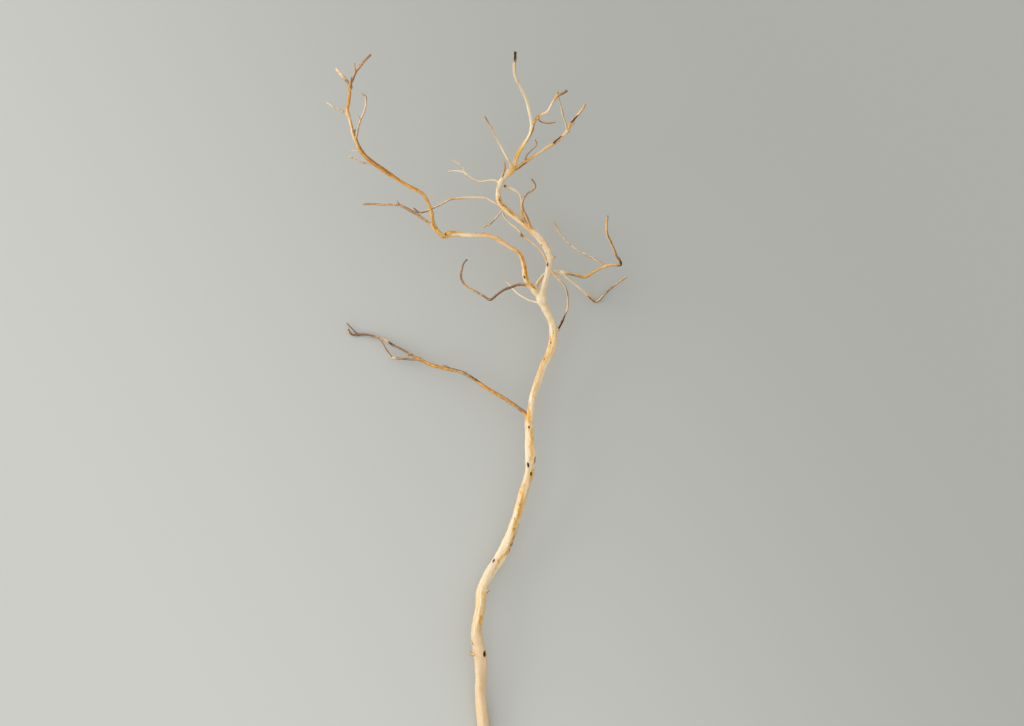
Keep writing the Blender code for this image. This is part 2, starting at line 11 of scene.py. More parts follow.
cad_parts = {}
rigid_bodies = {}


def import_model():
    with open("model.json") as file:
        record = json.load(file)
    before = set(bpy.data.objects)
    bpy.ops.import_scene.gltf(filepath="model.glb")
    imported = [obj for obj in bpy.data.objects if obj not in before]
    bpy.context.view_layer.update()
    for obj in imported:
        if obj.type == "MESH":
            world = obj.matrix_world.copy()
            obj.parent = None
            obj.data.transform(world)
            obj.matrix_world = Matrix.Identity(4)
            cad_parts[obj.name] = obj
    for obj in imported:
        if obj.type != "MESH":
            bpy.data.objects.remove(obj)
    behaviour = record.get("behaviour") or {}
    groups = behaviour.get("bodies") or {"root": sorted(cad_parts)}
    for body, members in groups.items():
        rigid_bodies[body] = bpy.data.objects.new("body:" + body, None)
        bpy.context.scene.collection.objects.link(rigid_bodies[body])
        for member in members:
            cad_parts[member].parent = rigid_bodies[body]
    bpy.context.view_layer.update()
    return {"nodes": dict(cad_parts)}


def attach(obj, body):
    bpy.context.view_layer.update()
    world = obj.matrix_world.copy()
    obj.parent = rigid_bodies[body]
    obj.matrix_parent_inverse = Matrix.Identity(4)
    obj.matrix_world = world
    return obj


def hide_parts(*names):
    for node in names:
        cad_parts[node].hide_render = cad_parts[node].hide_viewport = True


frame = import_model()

# A bare tree branch, laid down, seen from straight above. Each part of it is one piece of wood, made from
# the limbs' centre lines: tubes along them, joined by a remesh, then laid onto the fluted and filleted
# surface of the grown wood, weathered, and cut where the part ends.
# What follows the limbs is in the drawing's millimetres: across, along from the butt cut, and up.
MM = 0.001
UP = np.array([0.0, 0.0, 1.0])
CURVE_STEP = 0.5

# Stations of each limb in millimetres: across, along from the butt cut, height of the centre line, radius.
# A limb's first station is moved onto the centre line of the limb that it grows from.
STEM = [
    (7, 0, 10.2, 10.4), (7, 22, 10.2, 10.2), (5, 60, 12, 9.7), (2, 100, 16, 9.6), (1, 122, 19, 9.5),
    (1.2, 147, 23, 9.4), (1, 172, 27, 10.2), (-1.5, 188, 29, 10.1), (-5, 206, 31, 9.6),
    (-6, 223, 32, 9.4), (-3.5, 237, 32, 8.9), (0, 256, 30, 8.5), (1.5, 270, 29, 8.3), (3, 284, 28, 8.9),
    (8, 301, 26, 9.0), (17, 319, 25, 9.2), (32, 340, 25, 9.1), (42, 357, 26, 8.8), (50, 377, 29, 8.5),
    (58, 401, 33, 8.5), (66, 427, 38, 8.5), (73, 450, 42, 8.2), (79, 470, 45, 8.0), (84, 490, 46, 8.3),
    (85, 510, 47, 8.0), (84.5, 540, 47, 7.7), (84, 570, 46, 7.5), (86.5, 594, 44, 6.6),
    (89.5, 615, 42, 6.7), (96, 635, 41, 6.9), (103, 655, 42, 6.9), (109, 673, 45, 7.2),
    (117, 688, 49, 7.1), (122.5, 703, 52, 6.6), (124.6, 722, 55, 6.6), (123.5, 738, 58, 6.9),
    (118, 753, 60, 6.8), (110, 769, 62, 7.0), (104.5, 783, 64, 6.8), (106, 795, 66, 5.6),
    (110, 810, 69, 4.9), (113.5, 824, 72, 4.8), (116.5, 839, 75, 5.0), (118, 850, 77, 6.0),
    (115, 863, 80, 6.1), (108, 877, 83, 6.0), (97, 891, 87, 5.7), (83, 904, 90, 5.5), (66, 918, 93, 5.4),
    (52, 929, 95, 5.2), (41, 939, 96, 4.9), (33.5, 949, 97, 4.9), (31, 958, 98, 4.7),
    (31.5, 970, 100, 4.2), (35, 981, 102, 4.2), (42, 991, 104, 4.5), (50, 999, 105, 4.5),
    (56, 1005, 106, 3.8), (60, 1018, 107, 3.4), (65, 1031, 109, 3.3), (73, 1044, 111, 3.1),
    (82, 1058, 113, 2.9), (87.5, 1072, 115, 2.9), (86.5, 1088, 119, 2.5), (82.5, 1108, 127, 2.3),
    (79, 1122, 133, 2.3), (71, 1138, 141, 2.3), (64, 1151, 148, 2.1), (59, 1164, 153, 2.1),
    (58, 1178, 156, 2.0), (59.8, 1191, 158, 2.1), (60, 1203, 158, 2.2),
]

LIMBS = {
    # Limb: the limb that it grows from, and its stations
    "butt_spur": ("stem", [
        (0, 174, 27, 3.2), (-9, 178, 33, 2.3), (-13, 179.5, 34.5, 2.0), (-18, 184.5, 36, 1.3)]),
    "butt_spur_prong": ("butt_spur", [
        (-11, 178.5, 34, 1.7), (-14.5, 177.5, 35.5, 1.2), (-17.5, 178.5, 36, 0.9)]),
    "lower_nub": ("stem", [(5, 284, 28, 2.4), (11.5, 286, 32, 1.8), (15, 288, 34, 1.3)]),
    "upper_nub": ("stem", [(124, 728, 57, 2.6), (130, 731, 60, 2.0), (134, 731, 61, 1.5)]),
    "bend_spur": ("stem", [(117, 846, 76, 2.4), (123, 852, 79, 1.8), (127.5, 857, 80, 1.2)]),
    "low_side_branch": ("stem", [
        (85, 570, 46, 4.0), (81, 582, 46, 3.5), (76.2, 590.3, 45, 3.0), (68.3, 596.5, 44, 2.8),
        (50.3, 609, 41, 2.7), (30.3, 621, 38, 2.7), (8.3, 634.5, 35, 2.7), (-10, 647, 33, 2.7),
        (-21, 654.3, 32, 2.7), (-34, 660.2, 30, 2.7), (-50, 664, 28, 2.8), (-68, 667.5, 26, 2.6),
        (-85, 673, 23, 2.7), (-100, 679.5, 20, 2.6), (-107, 683.5, 18, 2.2), (-120, 691, 15, 1.7),
        (-137, 700, 12, 1.6), (-150, 706.5, 10.5, 1.6), (-159, 713, 9, 1.7), (-172, 717, 6.5, 1.7),
        (-186, 722, 4, 1.7), (-196, 723.5, 2.7, 1.7), (-209, 723, 1.7, 1.6), (-216, 722.5, 1.8, 1.3),
        (-220.5, 725.5, 3.5, 1.2), (-224, 732.5, 8, 1.1)]),
    "low_tip_twig": ("low_side_branch", [
        (-209, 723, 2, 1.6), (-213, 728, 5, 1.3), (-219, 734.5, 9, 1.2), (-227, 743, 14, 1.1)]),
    "low_fork_arm": ("low_side_branch", [
        (-104, 681, 19, 2.0), (-114, 681, 17, 1.6), (-128, 682, 13.5, 1.6), (-145, 683.3, 9, 1.5),
        (-150, 684.5, 8, 1.4), (-154, 690, 11, 1.2), (-161, 700, 17, 1.1), (-168, 712, 22, 1.0),
        (-174, 718, 23, 0.9)]),
    "low_fork_stub": ("low_side_branch", [
        (-117, 689.5, 16, 1.2), (-121, 688.5, 21, 1.0), (-123, 686, 25, 0.8)]),
    "low_bark_snag": ("low_side_branch", [(-49, 664, 28, 1.5), (-55, 668, 32, 1.1), (-63, 671, 34, 0.8)]),
    "pale_twig": ("stem", [
        (108, 775, 63, 1.8), (97, 778, 58, 1.4), (84, 781.5, 54, 1.2), (70, 789, 50, 1.1),
        (59, 797.5, 47, 1.1), (51, 807, 45, 1.0), (43, 815, 43, 0.9)]),
    "left_limb": ("stem", [
        (104, 784, 64, 5.4), (98, 792, 67, 5.0), (89, 802, 70, 4.6), (81, 812, 73, 4.3),
        (76.5, 824, 77, 4.2), (75, 838, 82, 3.9), (71.5, 852, 87, 3.9), (64, 864, 92, 3.7),
        (52, 871, 96, 3.7), (38, 879.5, 100, 3.9), (26, 887, 103, 4.0), (12, 891.5, 105, 4.0),
        (-8, 892, 106, 3.9), (-28, 893, 108, 4.3), (-41, 894.5, 110, 4.4), (-53, 894, 112, 5.0),
        (-61.5, 890.5, 114, 4.2), (-69, 896, 116, 3.4), (-77, 905.5, 118, 3.6), (-80.5, 918, 120, 3.2),
        (-82, 930, 122, 3.1), (-86, 942, 125, 2.7), (-91, 954, 129, 2.7), (-99, 963.5, 133, 2.9),
        (-114, 971.5, 139, 3.1), (-130, 980.5, 145, 3.2), (-148, 992, 151, 3.3), (-166, 1004, 157, 3.4),
        (-184, 1016.5, 162, 3.5), (-199, 1031, 166, 3.6), (-208.5, 1048, 169, 3.1),
        (-215, 1064, 171, 2.9), (-219.5, 1084, 172, 2.8), (-224.5, 1102, 173, 2.9),
        (-222.8, 1115, 175, 2.7), (-220.5, 1132, 178, 2.8), (-219.5, 1147, 181, 2.6),
        (-214.5, 1157, 185, 1.9), (-210.5, 1168, 190, 1.8), (-201, 1180, 197, 1.8),
        (-192, 1190.5, 203, 1.9), (-184.5, 1197, 207, 1.9)]),
    "hook_twig": ("left_limb", [
        (86.5, 805, 71, 2.6), (77, 808, 75, 2.2), (66, 808.5, 80, 2.1), (52, 803.5, 86, 2.1),
        (40, 799, 90, 2.1), (27, 789.5, 94, 2.0), (19, 783, 96, 2.1), (15.5, 783, 96, 2.0),
        (4, 790, 92, 1.7), (-12, 799, 86, 1.5), (-25, 807.5, 80, 1.5), (-30.5, 815, 77, 1.7),
        (-32.5, 823, 75, 1.8), (-30.5, 835, 74, 1.6), (-26.5, 846, 75, 1.4), (-21.5, 851, 76, 1.5)]),
    "left_side_twig": ("left_limb", [
        (-78, 905, 118, 2.4), (-88, 914, 112, 2.0), (-99, 921.5, 105, 1.9), (-108, 928, 99, 2.0),
        (-122, 936, 90, 2.0), (-136, 943, 81, 1.8), (-150, 944.3, 73, 1.4), (-167, 944.5, 64, 1.4),
        (-184, 945.3, 56, 1.4), (-199.5, 944.5, 50, 1.2)]),
    "left_side_spur": ("left_side_twig", [
        (-135, 942, 82, 1.1), (-139, 947, 84, 0.9), (-141, 951.5, 86, 0.7)]),
    "curled_twig": ("left_limb", [
        (-211, 1053, 170, 1.9), (-208.5, 1062, 174, 1.5), (-206, 1075, 181, 1.3), (-201, 1090, 188, 1.3),
        (-195.5, 1102, 194, 1.3), (-193.2, 1115, 198, 1.3), (-194, 1126.5, 201, 1.3),
        (-200.5, 1132, 202, 1.1)]),
    "curled_twig_bud": ("curled_twig", [
        (-203.5, 1085, 186, 0.9), (-205, 1091, 190, 0.8), (-207, 1096, 193, 0.6)]),
    "crotch_stub": ("left_limb", [
        (-214.5, 1061, 171, 1.3), (-212.5, 1066, 175, 1.0), (-211.5, 1071, 178, 0.9)]),
    "outer_twig": ("left_limb", [
        (-223, 1097, 173, 1.7), (-231, 1101, 169, 1.3), (-244, 1107.5, 163, 1.2),
        (-254, 1112.5, 158, 1.1), (-261, 1118, 154, 1.0)]),
    "short_pale_twig": ("left_limb", [
        (-201, 1031, 166, 1.7), (-208, 1034.5, 170, 1.3), (-216.5, 1034.5, 174, 1.0)]),
    "drooping_hair_twig": ("left_limb", [
        (-184, 1017, 162, 1.3), (-193, 1013.5, 158, 1.0), (-203, 1016.5, 154, 0.9),
        (-214, 1022.5, 150, 0.9), (-224, 1027, 147, 0.8)]),
    "fork_tine": ("left_limb", [
        (-220, 1143, 180, 2.4), (-224, 1150, 180, 2.0), (-230, 1158.5, 179, 1.9), (-237, 1166, 176, 2.0),
        (-243.5, 1174.5, 172, 1.8)]),
    "fork_stub": ("left_limb", [
        (-219.5, 1146, 181, 1.5), (-218.5, 1153, 186, 1.0), (-217.5, 1159, 189, 0.8)]),
    "needle_twig": ("left_limb", [
        (-211.5, 1165, 189, 1.2), (-211.8, 1174, 193, 0.8), (-212.5, 1184, 197, 0.7)]),
    "right_branch": ("left_limb", [
        (94, 797, 68, 3.4), (96.5, 808.5, 62, 2.8), (101.5, 817, 58, 2.6), (108.5, 824.3, 56, 2.5),
        (118, 829, 55, 2.5), (129, 829.3, 54, 2.5), (141, 828, 53, 2.4), (153, 826, 52, 2.0),
        (167, 823.3, 49, 2.0), (177, 821, 47, 2.0), (183, 823.5, 48, 2.0), (195, 831, 52, 2.0),
        (210, 838, 57, 2.1), (224, 842, 63, 2.1), (234, 841.5, 67, 2.2), (238.5, 842.5, 69, 2.1),
        (236.5, 850, 74, 2.1), (231.5, 857, 79, 1.9), (226.5, 869, 86, 1.9), (221, 882, 94, 1.7),
        (216.5, 892, 99, 1.6), (215, 904, 103, 1.5), (217, 925, 109, 1.3)]),
    "right_thin_arc": ("right_branch", [
        (214, 839, 58, 1.7), (205, 846.5, 54, 1.4), (193, 853, 49, 1.3), (176, 861, 42, 1.3),
        (161, 870, 35, 1.2), (147, 882, 28, 1.2), (135, 896, 21, 1.2), (127.5, 909, 16, 1.1),
        (125, 919, 13, 1.0)]),
    "right_lower_arm": ("right_branch", [
        (140, 828, 53, 2.6), (146, 822, 50, 2.3), (157, 812.5, 40, 2.2), (170, 802, 28, 2.1),
        (182, 791.5, 15, 2.1), (190, 784, 6, 2.0), (196, 780.3, 1.9, 1.9), (201, 781.3, 2.6, 1.7),
        (209, 789, 8, 1.6), (219, 798.5, 15, 1.5), (230, 808, 21, 1.5), (241, 815.5, 26, 1.4),
        (249.5, 822, 30, 1.3)]),
    "drooping_twig": ("right_branch", [
        (122, 829, 55, 2.2), (127, 822.5, 61, 1.9), (134.5, 816.5, 68, 1.6), (142.5, 807.5, 75, 1.5),
        (148, 795, 80, 1.5), (149.5, 782, 82, 1.5), (148.7, 768, 81, 1.5), (143.5, 754, 79, 1.5),
        (139, 743.5, 77, 1.7), (133.5, 733.5, 76, 1.6)]),
    "drooping_twig_bud": ("drooping_twig", [
        (141, 748, 78, 1.2), (138, 747, 81, 0.9), (136, 745.5, 84, 0.7)]),
    "inner_twig": ("stem", [
        (117, 840, 75, 2.0), (113.8, 847, 81, 1.5), (109, 857, 85, 1.3), (102, 867, 87, 1.3),
        (90, 877.5, 88, 1.3), (78, 886.5, 88, 1.5), (71, 891.5, 88, 2.2), (67.5, 898, 87, 1.5),
        (61, 904.5, 86, 1.3), (50, 913, 83, 1.3), (42, 921.5, 80, 1.3), (38, 931, 78, 1.1)]),
    "crossing_twig": ("stem", [
        (86, 902, 90, 2.4), (83, 913, 97, 1.9), (79, 924, 103, 1.9), (73.5, 934, 107, 1.8),
        (71.8, 944, 110, 1.6), (74, 953, 114, 1.5), (81, 962.5, 119, 1.4), (91.5, 970, 124, 1.4),
        (94, 975, 127, 1.4), (92, 981, 130, 1.3), (87.5, 987, 133, 1.2)]),
    "bowed_twig": ("stem", [
        (79, 907, 91, 2.4), (75, 919, 94, 1.9), (71, 930, 95, 1.8), (70, 943, 96, 1.7),
        (70.5, 953, 98, 1.6), (66.5, 962, 101, 1.7), (56.5, 969.5, 107, 1.7), (41, 976, 113, 1.9)]),
    "bowed_twig_snag": ("stem", [(77, 909, 91, 1.4), (73.5, 913.5, 98, 1.1), (70, 918, 101, 0.8)]),
    "knobby_twig": ("stem", [
        (44, 937, 96, 1.9), (36, 932.5, 92, 1.3), (29, 923, 88, 1.2), (24, 918.5, 86, 1.5),
        (17, 911, 84, 1.3), (11, 909, 83, 1.3), (7, 906, 82, 1.6)]),
    "long_thin_twig": ("stem", [
        (41, 938, 96, 2.6), (28, 945, 98, 1.8), (18, 950.5, 99, 1.6), (10, 954.5, 100, 1.5),
        (-10, 956, 102, 1.5), (-32, 955, 104, 1.5), (-50, 952.5, 106, 1.4), (-65, 945, 107, 1.3),
        (-80, 938, 107.5, 1.3), (-94, 932, 108.5, 1.4), (-104, 931, 110, 1.5), (-113, 938, 113, 1.2)]),
    "side_fork_twig": ("stem", [
        (34, 981, 102, 2.2), (24, 985, 105, 1.5), (10, 984, 108, 1.3), (0, 983, 110, 1.3),
        (-8, 985.5, 112, 1.3), (-17, 990.5, 114, 1.4), (-25.5, 998, 116, 1.3), (-28.5, 1006, 118, 1.0),
        (-37, 1013.5, 121, 1.0), (-49, 1020, 124, 0.9)]),
    "side_fork_tine": ("side_fork_twig", [
        (-23, 996, 115, 1.3), (-31, 999.8, 114, 1.1), (-43, 1001, 112, 1.0), (-55, 999.5, 110, 0.9)]),
    "upright_stub": ("stem", [
        (36, 983, 102, 2.0), (38, 994, 109, 1.4), (41.5, 1001.5, 113, 1.2), (42, 1009, 115, 1.2),
        (41.5, 1017, 117, 1.0)]),
    "slanting_twig": ("stem", [
        (55.5, 1002, 106, 2.2), (51, 1013, 110, 1.7), (44, 1026, 115, 1.7), (34.5, 1044, 123, 1.6),
        (26, 1060.5, 131, 1.4), (18, 1076.5, 139, 1.3), (8, 1092.5, 147, 1.3)]),
    "outer_right_branch": ("stem", [
        (51.5, 999, 105, 3.2), (62, 1005.5, 104, 2.8), (78, 1017.5, 101, 2.6), (94, 1027.5, 98, 2.6),
        (112, 1039, 95, 2.5), (126, 1048.5, 92, 2.5), (139, 1059, 88, 2.4), (148.5, 1069, 84, 2.4),
        (152.5, 1078, 82, 2.0), (159, 1088, 79, 1.9), (170, 1101, 74, 1.6), (175.5, 1109, 71, 1.5),
        (178.5, 1115, 69, 1.7)]),
    "bent_riser": ("outer_right_branch", [
        (77, 1016.5, 101, 1.6), (78.5, 1026, 106, 1.2), (87, 1036, 110, 1.1), (95, 1043.5, 113, 1.1),
        (96, 1048, 114, 1.1), (92, 1056, 117, 1.0)]),
    "cross_riser": ("outer_right_branch", [
        (148, 1068.5, 84, 1.7), (146.5, 1078, 89, 1.2), (142, 1092, 97, 1.2), (137.5, 1110, 106, 1.2),
        (134.5, 1122, 111, 1.0), (133.6, 1127, 113, 0.9)]),
    "outer_right_bud": ("outer_right_branch", [
        (153, 1079, 82, 1.2), (157.5, 1080.5, 84, 1.0), (161, 1083, 86, 0.8)]),
    "outer_right_nub": ("outer_right_branch", [
        (147, 1068, 84, 1.6), (151.5, 1068.5, 87, 1.1), (153, 1070, 89, 0.9)]),
    "knuckle_arm": ("stem", [
        (87, 1071, 115, 2.5), (91.5, 1082, 117, 2.1), (97.5, 1091.5, 119, 2.1), (106, 1097, 121, 1.9),
        (114.5, 1101.5, 123, 1.8), (119.5, 1110, 125, 1.8), (125, 1120, 127, 1.8),
        (130.5, 1127.5, 129, 2.1), (133.5, 1129.5, 130, 2.2), (140, 1132.5, 132, 1.9),
        (148, 1137, 135, 1.9)]),
    "knuckle_spur": ("knuckle_arm", [
        (131, 1128, 129, 1.3), (131.5, 1133, 132, 1.0), (131.5, 1137, 134, 0.8)]),
    "knuckle_down_twig": ("knuckle_arm", [
        (98.5, 1092, 119, 1.4), (100.5, 1087, 117, 1.1), (107, 1083.5, 114, 1.0), (117, 1082.5, 111, 1.0),
        (128, 1084, 108, 0.8)]),
}

# Where a limb is cut, as a distance along its centre line in millimetres, and the part that starts there.
# Before its first cut a limb belongs to the part that it grows from.
CUTS = {
    "stem": ((0, "butt_stem"), (625, "middle_stem"), (850, "crown_stem"), (1145, "top_leader")),
    "low_side_branch": ((22, "low_side_branch"),),
    "left_limb": ((24, "left_limb"), (292, "upper_left_limb")),
    "hook_twig": ((11, "hook_twig"),),
    "left_side_twig": ((12, "left_side_twig"),),
    "right_branch": ((19, "right_branch"),),
    "right_lower_arm": ((9, "right_lower_arm"),),
    "drooping_twig": ((9, "drooping_twig"),),
    "outer_right_branch": ((14, "outer_right_branch"),),
}

# The slot of the record that each part takes its finish from, and its surface grid in millimetres
PARTS = {
    "butt_stem": ("pale_wood", 1.0), "middle_stem": ("pale_wood", 0.8), "crown_stem": ("pale_wood", 0.86),
    "top_leader": ("pale_wood", 0.62), "left_limb": ("pale_wood", 0.62),
    "upper_left_limb": ("honey_wood", 0.66), "low_side_branch": ("honey_wood", 0.68),
    "left_side_twig": ("honey_wood", 0.6), "right_branch": ("honey_wood", 0.64),
    "right_lower_arm": ("honey_wood", 0.6), "drooping_twig": ("honey_wood", 0.58),
    "outer_right_branch": ("honey_wood", 0.62), "hook_twig": ("brown_twig", 0.62),
}
SLOT_ROUGHNESS = {"pale_wood": 0.46, "honey_wood": 0.46, "brown_twig": 0.55}
SAWN_PART = "butt_stem"

